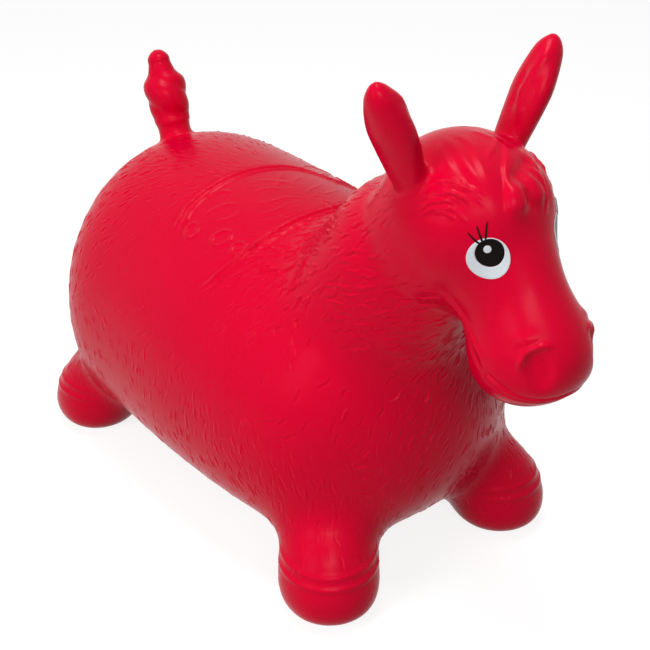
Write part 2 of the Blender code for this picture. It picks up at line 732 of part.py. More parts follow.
def make_eye(side_name, side):
    """One eye: white, pupil and highlight let into each other, and three lashes above."""
    way = Vector((side * sin(radians(EYE_OUTWARD)) * cos(radians(EYE_RISE)),
                  -cos(radians(EYE_OUTWARD)) * cos(radians(EYE_RISE)), sin(radians(EYE_RISE))))
    forward = Vector((0, 0, 1)).cross(way).normalized() * -side
    up = (way.cross(forward) * -side).normalized()
    frame = Matrix.Translation(SKULL_CENTRE) @ Matrix((forward * side, up, way)).transposed().to_4x4()
    pupil_at = (side * PUPIL_FORWARD, PUPIL_UP)
    light_at = (side * HIGHLIGHT_FORWARD, HIGHLIGHT_UP)
    holes = []
    for hole_name, radius, place in (("pupil_hole_", PUPIL_RADIUS, pupil_at),
                                     ("light_hole_", HIGHLIGHT_RADIUS, light_at)):
        outline = disc(radius + SEAM_GAP, *place)
        holes.append(cutter(hole_name + side_name, prism(hole_name, outline, PRINT_REACH), frame))
    print_piece("eye_white_" + side_name, disc(EYE_RADIUS), frame, eye_white, holes[:1])
    print_piece("pupil_" + side_name, disc(PUPIL_RADIUS, *pupil_at), frame, eye_black, holes[1:])
    print_piece("highlight_" + side_name, disc(HIGHLIGHT_RADIUS, *light_at), frame, eye_white)
    for number, angle in enumerate(LASH_ANGLES, 1):
        turn = angle if side > 0 else 180 - angle
        print_piece(f"lash_{side_name}_{number}", lash_outline(turn), frame, eye_black)


def offset_outline(name, outline, distance):
    """The outside of the skin carried out by a distance, to hold the prints."""
    body = bpy.data.objects.new(name, outline.copy())
    body.display_type = "WIRE"
    body.hide_render = True
    body.parent = horse
    cutters.objects.link(body)
    offset = body.modifiers.new("offset", "DISPLACE")
    offset.strength = distance
    offset.mid_level = 0
    return body


for thing in list(bpy.data.objects):
    bpy.data.objects.remove(thing)

parts = collection("bouncing_horse")
cutters = collection("cutters")
skin_red = material("skin_red", (0.66, 0.0, 0.02), 0.38)
seat_red = material("seat_red", (0.5, 0.0, 0.02), 0.45)
plug_white = material("plug_white", (0.85, 0.85, 0.83), 0.4)
eye_white = material("eye_white", (0.86, 0.88, 0.9), 0.35)
eye_black = material("eye_black", (0.01, 0.01, 0.01), 0.3)

horse = bpy.data.objects.new("horse", None)
parts.objects.link(horse)

outside_mesh = outer_surface()
hollow_skin, outline_mesh = make_hollow_skin(outside_mesh)
valve_level = make_zones(outline_mesh)
make_valve(valve_level)
print_inside = offset_outline("print_inside", outline_mesh, PRINT_GAP)
print_outside = offset_outline("print_outside", outline_mesh, PRINT_GAP + PRINT_THICKNESS)
for eye_name, eye_side in SIDES.items():
    make_eye(eye_name, eye_side)

lengthwise = [vertex.co.y for vertex in outline_mesh.vertices]
horse.location.y = -(min(lengthwise) + max(lengthwise)) / 2
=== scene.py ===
"""Looks of an inflatable bouncing horse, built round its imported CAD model.

The toy is one hollow skin of soft red vinyl, moulded in one piece and blown up. Its form is swept
and fused as in the CAD model, then refined, and the moulded relief is raised out of it: coat
strokes, saddle blanket, forelock, nostrils, mouth, leg bands, folded ears and plaited tail. The
skin is parted along the moving zones, the eyes are printed on it, and the valve sits in the belly.
Metres, +Z up. The horse faces -Y and its left is +X.
"""

import logging
from dataclasses import dataclass, field
from enum import Enum
from math import cos, pi, radians, sin

import bmesh
import bpy
import numpy as np
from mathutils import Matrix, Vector
from mathutils.bvhtree import BVHTree


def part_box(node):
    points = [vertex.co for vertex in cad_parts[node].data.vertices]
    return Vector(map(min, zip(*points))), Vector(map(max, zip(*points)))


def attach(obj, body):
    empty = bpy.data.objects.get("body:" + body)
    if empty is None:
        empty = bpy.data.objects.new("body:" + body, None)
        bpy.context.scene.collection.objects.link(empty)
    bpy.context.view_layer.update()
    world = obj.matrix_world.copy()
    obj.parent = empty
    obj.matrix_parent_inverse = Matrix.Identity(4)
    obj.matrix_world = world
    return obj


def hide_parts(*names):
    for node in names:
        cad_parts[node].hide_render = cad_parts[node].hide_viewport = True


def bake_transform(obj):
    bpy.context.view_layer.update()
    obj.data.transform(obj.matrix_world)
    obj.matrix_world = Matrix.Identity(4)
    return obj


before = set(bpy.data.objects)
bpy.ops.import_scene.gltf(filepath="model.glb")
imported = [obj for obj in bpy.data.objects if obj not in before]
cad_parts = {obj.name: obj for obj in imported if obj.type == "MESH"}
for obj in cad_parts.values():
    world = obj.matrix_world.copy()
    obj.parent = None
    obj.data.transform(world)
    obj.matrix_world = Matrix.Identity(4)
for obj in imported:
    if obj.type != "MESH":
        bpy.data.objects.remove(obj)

MM = 0.001
# The form's sizes are measured from a point that lies this far behind the middle of the horse's box.
MOULD_SHIFT = 54.976 * MM
SKULL_CENTRE = (0.0, -232 * MM, 358 * MM)
RIGHT_THEN_LEFT = (-1, 1)
FRONT_THEN_REAR = (-1, 1)
# Beyond this many half widths, a bell-shaped rise is left out.
BELL_REACH = 3
log = logging.getLogger("bouncing_horse")


class Body(Enum):
    """The CAD bodies that pieces ride on or go with."""

    HORSE = "horse"
    EAR_LEFT = "ear_left"
    EAR_RIGHT = "ear_right"
    TAIL = "tail"
    FOOT_FRONT_LEFT = "foot_front_left"
    FOOT_FRONT_RIGHT = "foot_front_right"
    FOOT_REAR_LEFT = "foot_rear_left"
    FOOT_REAR_RIGHT = "foot_rear_right"
    PLUG = "valve_plug"


class Slot(Enum):
    """The record's material slots."""

    SKIN = "skin_red"
    SEAT = "seat_red"
    PLUG = "plug_white"
    WHITE = "eye_white"
    BLACK = "eye_black"


# ---- Curves, surfaces and fields -------------------------------------------------------------


def smooth_between(keys: np.ndarray, values: np.ndarray, places: np.ndarray) -> np.ndarray:
    """Carry values along smooth curves that never overshoot a key's value.

    Between keys the curve is a cubic Hermite piece, whose slope at a key is the harmonic mean
    of the slopes on either side, or zero where those differ in sign.

    Args:
        keys: Rising places of the known values.
        values: One row of known values for each key.
        places: Where the values are wanted.

    Returns:
        One row of values for each place.
    """
    keys, values = np.asarray(keys, float), np.asarray(values, float)
    steps = np.diff(keys)[:, None]
    slopes = np.diff(values, axis=0) / steps
    before, after = slopes[:-1], slopes[1:]
    same_way = before * after > 0
    safe = np.where(same_way, before + after, 1.0)
    inner = np.where(same_way, 2.0 * before * after / safe, 0.0)
    tangents = np.vstack([slopes[:1], inner, slopes[-1:]])
    left = np.clip(np.searchsorted(keys, places, side="right") - 1, 0, len(keys) - 2)
    step = steps[left]
    t = ((places - keys[left]) / step[:, 0])[:, None]
    return ((2 * t**3 - 3 * t**2 + 1) * values[left] + (t**3 - 2 * t**2 + t) * step * tangents[left]
            + (3 * t**2 - 2 * t**3) * values[left + 1] + (t**3 - t**2) * step * tangents[left + 1])


def resampled(points: np.ndarray, step: float) -> np.ndarray:
    """Points at an even step along the smooth curve through a few given ones."""
    points = np.asarray(points, float)
    runs = np.linalg.norm(np.diff(points[:, :3], axis=0), axis=1)
    keys = np.concatenate([[0.0], np.cumsum(runs)])
    return smooth_between(keys, points, np.linspace(0, keys[-1], max(2, int(keys[-1] / step) + 1)))


def both_sides(points: np.ndarray) -> list[np.ndarray]:
    """A line of points and its mirror image across the middle plane."""
    points = np.asarray(points, float)
    mirrored = points.copy()
    mirrored[:, 0] *= -1
    return [points, mirrored]


def unit(vectors: np.ndarray) -> np.ndarray:
    """Each row scaled to length one, or left as it is where it has no length."""
    return vectors / np.maximum(np.linalg.norm(vectors, axis=-1, keepdims=True), 1e-12)


def neighbours(points: np.ndarray, centres: np.ndarray, reach: float) -> tuple[np.ndarray, np.ndarray]:
    """Find every point that lies within reach of a centre, by sorting the points into cells.

    Args:
        points: The points to search.
        centres: The places to search round.
        reach: The longest distance that counts.

    Returns:
        Two arrays of equal length: the indices of the points, and of the centres they are near.
    """
    low = np.minimum(points.min(0), centres.min(0)) - 2 * reach
    span = np.floor((np.maximum(points.max(0), centres.max(0)) - low) / reach).astype(np.int64) + 3

    def keyed(cells: np.ndarray) -> np.ndarray:
        """One number for each cell."""
        return (cells[:, 0] * span[1] + cells[:, 1]) * span[2] + cells[:, 2]

    keys = keyed(np.floor((points - low) / reach).astype(np.int64))
    order = np.argsort(keys, kind="stable")
    keys = keys[order]
    home = np.floor((centres - low) / reach).astype(np.int64)
    near_points, near_centres = [], []
    for shift in np.ndindex(3, 3, 3):
        wanted = keyed(home + np.array(shift) - 1)
        first = np.searchsorted(keys, wanted, "left")
        count = np.searchsorted(keys, wanted, "right") - first
        who = np.repeat(np.arange(len(centres)), count)
        run = np.arange(count.sum()) - np.repeat(np.cumsum(count) - count, count)
        found = order[np.repeat(first, count) + run]
        close = np.linalg.norm(points[found] - centres[who], axis=1) < reach
        near_points.append(found[close])
        near_centres.append(who[close])
    return np.concatenate(near_points), np.concatenate(near_centres)


def circle(count: int) -> np.ndarray:
    """Angles spread evenly round a full turn, which leaves out its end."""
    return np.linspace(0, 2 * pi, count, endpoint=False)


def bell(distance: np.ndarray) -> np.ndarray:
    """A rise of 1 at distance 0, which falls away as exp(-distance^2)."""
    return np.exp(-(distance**2))


def smoothstep(low: float, high: float, values: np.ndarray) -> np.ndarray:
    """A rise from 0 at low to 1 at high, level at both ends: t^2 (3 - 2t)."""
    t = np.clip((values - low) / (high - low), 0, 1)
    return t * t * (3 - 2 * t)


def faded(share: np.ndarray, first: float, last: float) -> np.ndarray:
    """1 along a line, with a smooth rise from 0 over its first share and a fall to 0 over its last."""
    return smoothstep(0, first, share) * smoothstep(0, last, 1 - share)


@dataclass
class Surface:
    """Points and faces of a surface, before it becomes a mesh."""

    points: np.ndarray
    faces: list

    def mesh(self, name: str) -> bpy.types.Mesh:
        """A smooth mesh of the surface."""
        mesh = bpy.data.meshes.new(name)
        mesh.from_pydata(np.asarray(self.points).tolist(), [], self.faces)
        mesh.shade_smooth()
        mesh.update()
        return mesh


def linked(name: str, data: bpy.types.ID) -> bpy.types.Object:
    """A new object for a mesh, a lamp or a camera, linked to the scene."""
    made = bpy.data.objects.new(name, data)
    bpy.context.scene.collection.objects.link(made)
    return made


def ring_faces(rows: int, columns: int) -> list[tuple[int, ...]]:
    """Quads between rings of points that lie one after another."""
    index = np.arange(rows * columns).reshape(rows, columns)
    after = np.roll(index, -1, axis=1)
    quads = np.stack([index[:-1], after[:-1], after[1:], index[1:]], axis=-1).reshape(-1, 4)
    return [tuple(quad) for quad in quads.tolist()]


def closed_faces(rows: int, columns: int) -> list[tuple[int, ...]]:
    """Quads between rings, and triangles from the end rings to two poles, which are the last points."""
    last, pole = (rows - 1) * columns, rows * columns
    faces = ring_faces(rows, columns)
    faces += [(pole, (i + 1) % columns, i) for i in range(columns)]
    faces += [(pole + 1, last + i, last + (i + 1) % columns) for i in range(columns)]
    return faces


def swept_form(centres: np.ndarray, half_widths: np.ndarray, rises: np.ndarray, drops: np.ndarray,
               side: tuple[float, float, float], roundings: tuple[float, float],
               powers: tuple[float, float] = (2.0, 2.0), rings: int = 44, columns: int = 48) -> Surface:
    """Carry oval rings along a smooth path, with a rounded end at each pole.

    A point of a ring is centre + side * width * |cos a|^(2/p) + up * depth * |sin a|^(2/p), each
    with the sign of its cosine or sine. Within a rounding of either end, every ring shrinks by
    sqrt(1 - s^2), where s runs from 0 to 1 towards the pole.

    Args:
        centres: Places of the rings' middles.
        half_widths: Half widths of the rings.
        rises: Half depths above the widest line.
        drops: Half depths below it.
        side: Direction of the rings' width.
        roundings: Lengths of the rounded ends.
        powers: Powers of the ovals above and below.
        rings: Number of rings.
        columns: Points on each ring.

    Returns:
        The closed surface.
    """
    centres = np.asarray(centres, float)
    keys = np.concatenate([[0.0], np.cumsum(np.linalg.norm(np.diff(centres, axis=0), axis=1))])
    length = keys[-1]
    along = (1 - np.cos(np.linspace(0, pi, rings + 2)[1:-1])) / 2 * length
    path = smooth_between(keys, centres, along)
    sizes = smooth_between(keys, np.column_stack([half_widths, rises, drops]), along)
    for from_end, rounding in ((along, roundings[0]), (length - along, roundings[1])):
        sizes = sizes * np.sqrt(1 - np.clip(1 - from_end / rounding, 0, 1) ** 2)[:, None]
    ahead = unit(np.gradient(path, along, axis=0))
    across = unit(np.asarray(side, float) - (ahead @ np.asarray(side, float))[:, None] * ahead)
    upward = np.cross(ahead, across)
    turn = circle(columns)
    power = np.where(np.sin(turn) >= 0, powers[0], powers[1])
    out = np.sign(np.cos(turn)) * np.abs(np.cos(turn)) ** (2 / power)
    up = np.sign(np.sin(turn)) * np.abs(np.sin(turn)) ** (2 / power)
    depth = np.where(up >= 0, sizes[:, 1:2], sizes[:, 2:3])
    ring_points = (path[:, None] + across[:, None] * (out * sizes[:, 0:1])[..., None]
                   + upward[:, None] * (up * depth)[..., None])
    points = np.vstack([ring_points.reshape(-1, 3), centres[:1], centres[-1:]])
    return Surface(points, closed_faces(rings, columns))


def turned_form(profile: np.ndarray, place: tuple[float, float, float], columns: int) -> Surface:
    """Turn a closed outline round an upright axis.

    A point is place + (r cos a, r sin a, z) for each radius r and height z of the outline.

    Args:
        profile: Radius and height of each corner, in order round the section.
        place: Where the axis meets the level of height zero.
        columns: Points on each ring.

    Returns:
        The surface. Where the outline starts or ends on the axis, a ring's points lie on one place.
    """
    turn = circle(columns)
    radius, height = np.asarray(profile, float).T
    rings = np.stack([radius[:, None] * np.cos(turn), radius[:, None] * np.sin(turn),
                      np.repeat(height[:, None], columns, axis=1)], axis=-1)
    return Surface(rings.reshape(-1, 3) + np.asarray(place), ring_faces(len(radius), columns))


def ball(centre: tuple[float, float, float], radii: tuple[float, float, float]) -> Surface:
    """A ball stretched to three half sizes: centre + (a sin v cos u, b sin v sin u, c cos v)."""
    rows, columns = 24, 48
    polar = np.linspace(0, pi, rows + 2)[1:-1, None]
    turn = circle(columns)[None]
    rings = np.stack([np.sin(polar) * np.cos(turn), np.sin(polar) * np.sin(turn),
                      np.cos(polar) + 0 * turn], axis=-1).reshape(-1, 3)
    points = np.vstack([rings, [(0, 0, 1)], [(0, 0, -1)]]) * np.asarray(radii) + np.asarray(centre)
    return Surface(points, closed_faces(rows, columns))


def mirrored(surface: Surface) -> Surface:
    """The same surface on the other side of the middle plane."""
    return Surface(surface.points * (-1, 1, 1), [face[::-1] for face in surface.faces])


def read_quads(mesh: bpy.types.Mesh) -> tuple[np.ndarray, np.ndarray]:
    """The points and the quads of a mesh that has only quads."""
    points = np.empty(len(mesh.vertices) * 3)
    mesh.vertices.foreach_get("co", points)
    corners = np.empty(len(mesh.loops), np.int64)
    mesh.loops.foreach_get("vertex_index", corners)
    return points.reshape(-1, 3), corners.reshape(-1, 4)


def fused(surfaces: list[Surface], voxel: float, passes: int, finer: int = 0) -> Surface:
    """One surface from overlapping closed ones: a voxel union, relaxed until its creases are fillets.

    Args:
        surfaces: The closed surfaces.
        voxel: Edge length of the union's cells.
        passes: Times that each point is drawn half way to the middle of its neighbours.
        finer: Times that each quad is split in four on a smooth surface.

    Returns:
        A surface of quads, whose faces are an array.
    """
    starts = np.cumsum([0] + [len(surface.points) for surface in surfaces])
    faces = [tuple(int(corner) + int(start) for corner in face)
             for surface, start in zip(surfaces, starts) for face in surface.faces]
    body = linked("forms", Surface(np.vstack([surface.points for surface in surfaces]), faces).mesh("forms"))
    union = body.modifiers.new("union", "REMESH")
    union.mode, union.voxel_size = "VOXEL", voxel
    relax = body.modifiers.new("fillets", "SMOOTH")
    relax.factor, relax.iterations = 0.5, passes
    if finer:
        split = body.modifiers.new("finer", "SUBSURF")
        split.levels = split.render_levels = finer
    graph = bpy.context.evaluated_depsgraph_get()
    result = bpy.data.meshes.new_from_object(body.evaluated_get(graph))
    points, quads = read_quads(result)
    bpy.data.objects.remove(body)
    bpy.data.meshes.remove(result)
    return Surface(points, quads)


def point_normals(points: np.ndarray, quads: np.ndarray) -> np.ndarray:
    """Unit normals of a surface's points, each the sum of its faces' crossed diagonals."""
    corner = points[quads]
    crossed = np.cross(corner[:, 2] - corner[:, 0], corner[:, 3] - corner[:, 1])
    total = np.column_stack([np.bincount(quads.ravel(), np.repeat(crossed[:, axis], 4), len(points))
                             for axis in range(3)])
    return unit(total)


# ---- The bare form ---------------------------------------------------------------------------


@dataclass(frozen=True)
class BareForm:
    """The blown-up horse before its relief: the CAD model's swept forms, with their sizes.

    Ring tables hold shares of the sizes above them, one row for each ring. Angles are in degrees.
    """

    trunk_length: float = 483 * MM
    trunk_rear: float = 250 * MM
    trunk_half_width: float = 151 * MM
    back_height: float = 311 * MM
    belly_height: float = 28 * MM
    trunk_roundings: tuple = (112 * MM, 84 * MM)
    trunk_rings: tuple = ((0.00, 0.92, 0.950, 0.030), (0.30, 0.98, 1.000, 0.010), (0.50, 1.00, 0.985, 0.000),
                          (0.68, 0.98, 0.945, 0.000), (0.85, 0.89, 0.890, 0.008), (1.00, 0.72, 0.840, 0.030))
    trunk_widest: float = 0.42
    trunk_powers: tuple = (2.0, 2.7)

    neck_base: tuple = (-80 * MM, 150 * MM)
    neck_run: tuple = (128 * MM, 212 * MM)
    neck_half_width: float = 104 * MM
    neck_half_depth: float = 90 * MM
    neck_rounding: float = 50 * MM
    neck_rings: tuple = ((0.00, 0.00, 0.86, 0.80), (0.27, 0.25, 1.00, 1.00), (0.54, 0.50, 0.88, 0.87),
                         (0.78, 0.74, 0.74, 0.80), (1.00, 1.00, 0.62, 0.76))

    sole_spacing: float = 390 * MM
    sole_track: float = 204 * MM
    leg_radius: float = 46 * MM
    leg_top: float = 115 * MM
    leg_rings: tuple = ((1.00, 1.000, 0.00, 1.04), (1.00, 0.995, 0.20, 1.04), (0.96, 0.960, 0.40, 1.01),
                        (0.79, 0.860, 0.66, 0.83), (0.66, 0.780, 1.00, 0.78))
    sole_rounding: float = 16 * MM
    sole_sink: float = 4 * MM
    rim_softness: float = 2 * MM

    skull_radii: tuple = (65 * MM, 73 * MM, 66 * MM)
    cheek_place: tuple = (27 * MM, -214 * MM, 338 * MM)
    cheek_radii: tuple = (38 * MM, 54 * MM, 54 * MM)
    muzzle_run: tuple = (90 * MM, 126 * MM)
    muzzle_half_width: float = 48 * MM
    muzzle_half_depth: float = 52 * MM
    muzzle_rounding: float = 36 * MM
    muzzle_rings: tuple = ((0.05, 0.02, 1.10, 1.06), (0.34, 0.20, 0.98, 1.04), (0.62, 0.42, 0.81, 0.89),
                           (0.84, 0.68, 0.98, 0.98), (1.00, 1.00, 0.98, 0.92))

    ear_root: tuple = (44 * MM, -221 * MM, 383 * MM)
    ear_length: float = 108 * MM
    ear_splay: float = 26
    ear_lean: float = 0.06
    ear_turn: float = 14
    ear_half_width: float = 23 * MM
    ear_half_thickness: float = 14 * MM
    ear_rounding: float = 16 * MM
    ear_rings: tuple = ((0.00, 0.60, 0.78), (0.25, 0.74, 0.85), (0.40, 0.84, 0.87), (0.58, 0.90, 0.92),
                        (0.74, 0.76, 0.89), (0.86, 0.56, 0.84), (1.00, 0.36, 0.62))

    tail_root: tuple = (0.0, 168 * MM, 283 * MM)
    tail_length: float = 102 * MM
    tail_lean: float = 18.5
    tail_radius: float = 20.5 * MM
    tail_rounding: float = 16 * MM
    tail_rings: tuple = ((0.00, 0.80), (0.22, 0.77), (0.37, 0.84), (0.46, 0.95), (0.59, 1.02), (0.69, 0.93),
                         (0.77, 0.66), (0.84, 0.58), (0.91, 0.62), (1.00, 0.52))

    coarse_voxel: float = 5 * MM
    fine_voxel: float = 2.2 * MM
    body_passes: int = 90
    head_passes: int = 16
    detail_passes: int = 13

    def trunk(self) -> Surface:
        """The barrel of the body, from the rump to the chest, fuller below than above."""
        along, width, top, bottom = np.array(self.trunk_rings).T
        depth = self.back_height - self.belly_height
        high, low = self.belly_height + top * depth, self.belly_height + bottom * depth
        middle = low + self.trunk_widest * (high - low)
        centres = np.column_stack([0 * along, self.trunk_rear - along * self.trunk_length, middle])
        return swept_form(centres, width * self.trunk_half_width, high - middle, middle - low, (1, 0, 0),
                          self.trunk_roundings, self.trunk_powers)

    def neck(self) -> Surface:
        """The neck, rising forwards out of the shoulders to the poll."""
        forward, up, width, depth = np.array(self.neck_rings).T
        centres = np.column_stack([0 * up, self.neck_base[0] - forward * self.neck_run[0],
                                   self.neck_base[1] + up * self.neck_run[1]])
        depths = depth * self.neck_half_depth
        return swept_form(centres, width * self.neck_half_width, depths, depths, (1, 0, 0),
                          (self.neck_rounding, self.neck_rounding))

    def leg(self, side: int, end: int) -> Surface:
        """One stub leg, splayed out and along to its sole: side 1 is the left, end 1 the rear."""
        outward, lengthwise, height, radius = np.array(self.leg_rings).T
        centres = np.column_stack([side * outward * self.sole_track / 2,
                                   end * lengthwise * self.sole_spacing / 2,
                                   height * self.leg_top - self.sole_sink])
        radii = radius * self.leg_radius
        return swept_form(centres, radii, radii, radii, (1, 0, 0), (self.sole_rounding, self.leg_radius))

    def muzzle(self) -> Surface:
        """The face, from inside the skull down and forwards to a full nose and chin."""
        forward, down, width, depth = np.array(self.muzzle_rings).T
        skull = np.array(SKULL_CENTRE)
        centres = np.column_stack([0 * down, skull[1] - forward * self.muzzle_run[0],
                                   skull[2] - down * self.muzzle_run[1]])
        depths = depth * self.muzzle_half_depth
        return swept_form(centres, width * self.muzzle_half_width, depths, depths, (1, 0, 0),
                          (self.muzzle_rounding, self.muzzle_rounding))

    def ear_way(self) -> np.ndarray:
        """The way the left ear points, out from its root."""
        return unit(np.array([sin(radians(self.ear_splay)), -self.ear_lean, cos(radians(self.ear_splay))]))

    def ear(self) -> Surface:
        """The left ear, a leaf that is broadest above its middle, turned a little to the front."""
        along, width, thickness = np.array(self.ear_rings).T
        centres = np.array(self.ear_root) + along[:, None] * self.ear_length * self.ear_way()
        depths = thickness * self.ear_half_thickness
        broad = (sin(radians(self.ear_turn)), cos(radians(self.ear_turn)), 0)
        return swept_form(centres, width * self.ear_half_width, depths, depths, broad,
                          (self.ear_rounding, self.ear_rounding))

    def tail_way(self) -> np.ndarray:
        """The way the tail points, up and a little back."""
        return np.array([0, sin(radians(self.tail_lean)), cos(radians(self.tail_lean))])

    def tail(self) -> Surface:
        """The tail's core, standing on the rump, with the swellings of its plait."""
        along, radius = np.array(self.tail_rings).T
        centres = np.array(self.tail_root) + along[:, None] * self.tail_length * self.tail_way()
        radii = radius * self.tail_radius
        return swept_form(centres, radii, radii, radii, (1, 0, 0), (self.tail_rounding, self.tail_rounding))

    def outside(self) -> Surface:
        """The whole outside, fused from the widest fillets to the tightest, standing on flat soles.

        The soles are flattened by z -> (z + sqrt(z^2 + s^2)) / 2, which is level below the floor,
        equal to z above it, and round between the two.
        """
        legs = [self.leg(side, end) for side in RIGHT_THEN_LEFT for end in FRONT_THEN_REAR]
        body = fused([self.trunk(), self.neck(), *legs], self.coarse_voxel, self.body_passes)
        cheek = ball(self.cheek_place, self.cheek_radii)
        headed = fused([body, ball(SKULL_CENTRE, self.skull_radii), self.muzzle(), cheek, mirrored(cheek)],
                       self.coarse_voxel, self.head_passes)
        ear = self.ear()
        whole = fused([headed, ear, mirrored(ear), self.tail()], self.fine_voxel, self.detail_passes, 1)
        points = whole.points + (0, MOULD_SHIFT, 0)
        level = (points[:, 2] + np.sqrt(points[:, 2] ** 2 + self.rim_softness**2)) / 2
        points[:, 2] = level - level.min()
        log.info("bare form: %d points, %d quads", len(points), len(whole.faces))
        return Surface(points, whole.faces)


# ---- The moulded relief ----------------------------------------------------------------------


@dataclass(frozen=True)
class Fold:
    """A raised or sunken line on the skin, through points in millimetres, on one side or on both.

    It fades out over the share fade of its length at either end.
    """

    line: tuple
    half_width: float
    height: float
    fade: float = 0.15
    both: bool = True


@dataclass(frozen=True)
class Swelling:
    """An oval rise or hollow: its middle and the way its length runs, in millimetres, and its sizes."""

    middle: tuple
    way: tuple
    half_length: float
    half_width: float
    height: float
    both: bool = True
    power: float = 1.0


@dataclass(frozen=True)
class Lap:
    """A lock that laps over its neighbour: its edge, through points in millimetres, and its sizes.

    On side 1 it lies on the left of the edge's way, as seen from outside.
    """

    line: tuple
    width: float
    lip: float
    height: float
    side: int
    fade_in: float = 0.18
    fade_out: float = 0.12
    reach: float = 2.6


@dataclass(frozen=True)
class Ring:
    """A raised oval line on both sides: its middle and long way, in millimetres, and its sizes."""

    middle: tuple
    half_sizes: tuple
    way: tuple
    half_width: float = 1.5 * MM
    height: float = 1.2 * MM
    corners: int = 25


class Relief:
    """A height over every point of the bare form, to which each moulded feature adds its own."""

    curve_step = 1 * MM

    def __init__(self, surface: Surface) -> None:
        """Start with no relief on a bare surface."""
        self.points = surface.points
        self.quads = np.asarray(surface.faces)
        self.normals = point_normals(self.points, self.quads)
        self.height = np.zeros(len(self.points))
        self.tree = BVHTree.FromPolygons(self.points.tolist(), self.quads.tolist())

    def laid(self, line: np.ndarray) -> np.ndarray:
        """A line of points dropped onto the bare surface."""
        return np.array([self.tree.find_nearest(Vector(point))[0] for point in line])

    def along(self, line: np.ndarray, reach: float) -> tuple[np.ndarray, np.ndarray, np.ndarray, np.ndarray]:
        """Points near a line, and where they lie beside it.

        Args:
            line: Points in metres, which are joined by a smooth curve on the surface.
            reach: The longest distance that counts.

        Returns:
            The indices of the points, their distances from the line, their shares of its length,
            and the side they lie on, which is 1 on the left of the line's way as seen from outside.
        """
        curve = self.laid(resampled(line, self.curve_step))
        middles, ahead = (curve[1:] + curve[:-1]) / 2, unit(curve[1:] - curve[:-1])
        half = np.linalg.norm(curve[1:] - curve[:-1], axis=1) / 2
        which, near = neighbours(self.points, middles, reach + half.max())
        offset = self.points[which] - middles[near]
        run = np.clip(np.einsum("ij,ij->i", offset, ahead[near]), -half[near], half[near])
        aside = offset - run[:, None] * ahead[near]
        apart = np.linalg.norm(aside, axis=1)
        order = np.lexsort((apart, which))
        _, first = np.unique(which[order], return_index=True)
        best = order[first]
        best = best[apart[best] < reach]
        which, near, aside, apart = which[best], near[best], aside[best], apart[best]
        left = np.cross(self.normals[which], ahead[near])
        return which, apart, (near + 0.5) / len(middles), np.sign(np.einsum("ij,ij->i", aside, left))

    def fold(self, fold: Fold) -> None:
        """Add height * exp(-(distance / half width)^2), which fades in and out along the line."""
        for line in both_sides(np.array(fold.line) * MM)[: 1 + fold.both]:
            which, apart, share, _ = self.along(line, BELL_REACH * fold.half_width)
            self.height[which] += (fold.height * faded(share, fold.fade, fold.fade)
                                   * bell(apart / fold.half_width))

    def lap(self, lap: Lap) -> None:
        """Add a steep lip along a lock's edge, and a long fall behind it.

        The height is smoothstep(-lip, lip, s) * exp(-(s / width)^2), where s is the distance to the
        side that the lock lies on.
        """
        which, apart, share, sign = self.along(np.array(lap.line) * MM, lap.reach * lap.width)
        inwards = apart * sign * lap.side
        self.height[which] += (lap.height * faded(share, lap.fade_in, lap.fade_out)
                               * smoothstep(-lap.lip, lap.lip, inwards)
                               * bell(np.maximum(inwards, 0) / lap.width))

    def swelling(self, swelling: Swelling) -> None:
        """Add height * exp(-((u / half length)^2 + (v / half width)^2)^power) round a middle."""
        reach = BELL_REACH * max(swelling.half_length, swelling.half_width)
        middles = both_sides(np.array([swelling.middle]) * MM)
        ways = both_sides(np.array([swelling.way], float))
        for middle, way in list(zip(middles, ways))[: 1 + swelling.both]:
            centre = self.laid(middle)[0]
            offset = self.points - centre
            near = np.flatnonzero(np.linalg.norm(offset, axis=1) < reach)
            u = offset[near] @ unit(way[0])
            v = np.sqrt(np.maximum((offset[near] ** 2).sum(1) - u**2, 0))
            out = (u / swelling.half_length) ** 2 + (v / swelling.half_width) ** 2
            self.height[near] += swelling.height * np.exp(-(out**swelling.power))

    def ring(self, ring: Ring) -> None:
        """Add height * exp(-(distance / half width)^2) along an oval round a middle, on both sides."""
        turn = np.linspace(0, 2 * pi, ring.corners)
        middles, ways = both_sides(np.array([ring.middle]) * MM), both_sides(np.array([ring.way], float))
        for middle, way in zip(middles, ways):
            centre = self.laid(middle)[0]
            normal = np.array(self.tree.find_nearest(Vector(centre))[1])
            u = unit(way[0] - (way[0] @ normal) * normal)
            v = np.cross(normal, u)
            oval = (centre + (ring.half_sizes[0] * np.cos(turn))[:, None] * u
                    + (ring.half_sizes[1] * np.sin(turn))[:, None] * v)
            which, apart, _, _ = self.along(oval, BELL_REACH * ring.half_width)
            self.height[which] += ring.height * bell(apart / ring.half_width)

    def raised(self) -> np.ndarray:
        """The points of the surface with its relief."""
        return self.points + self.height[:, None] * self.normals


# ---- The coat --------------------------------------------------------------------------------


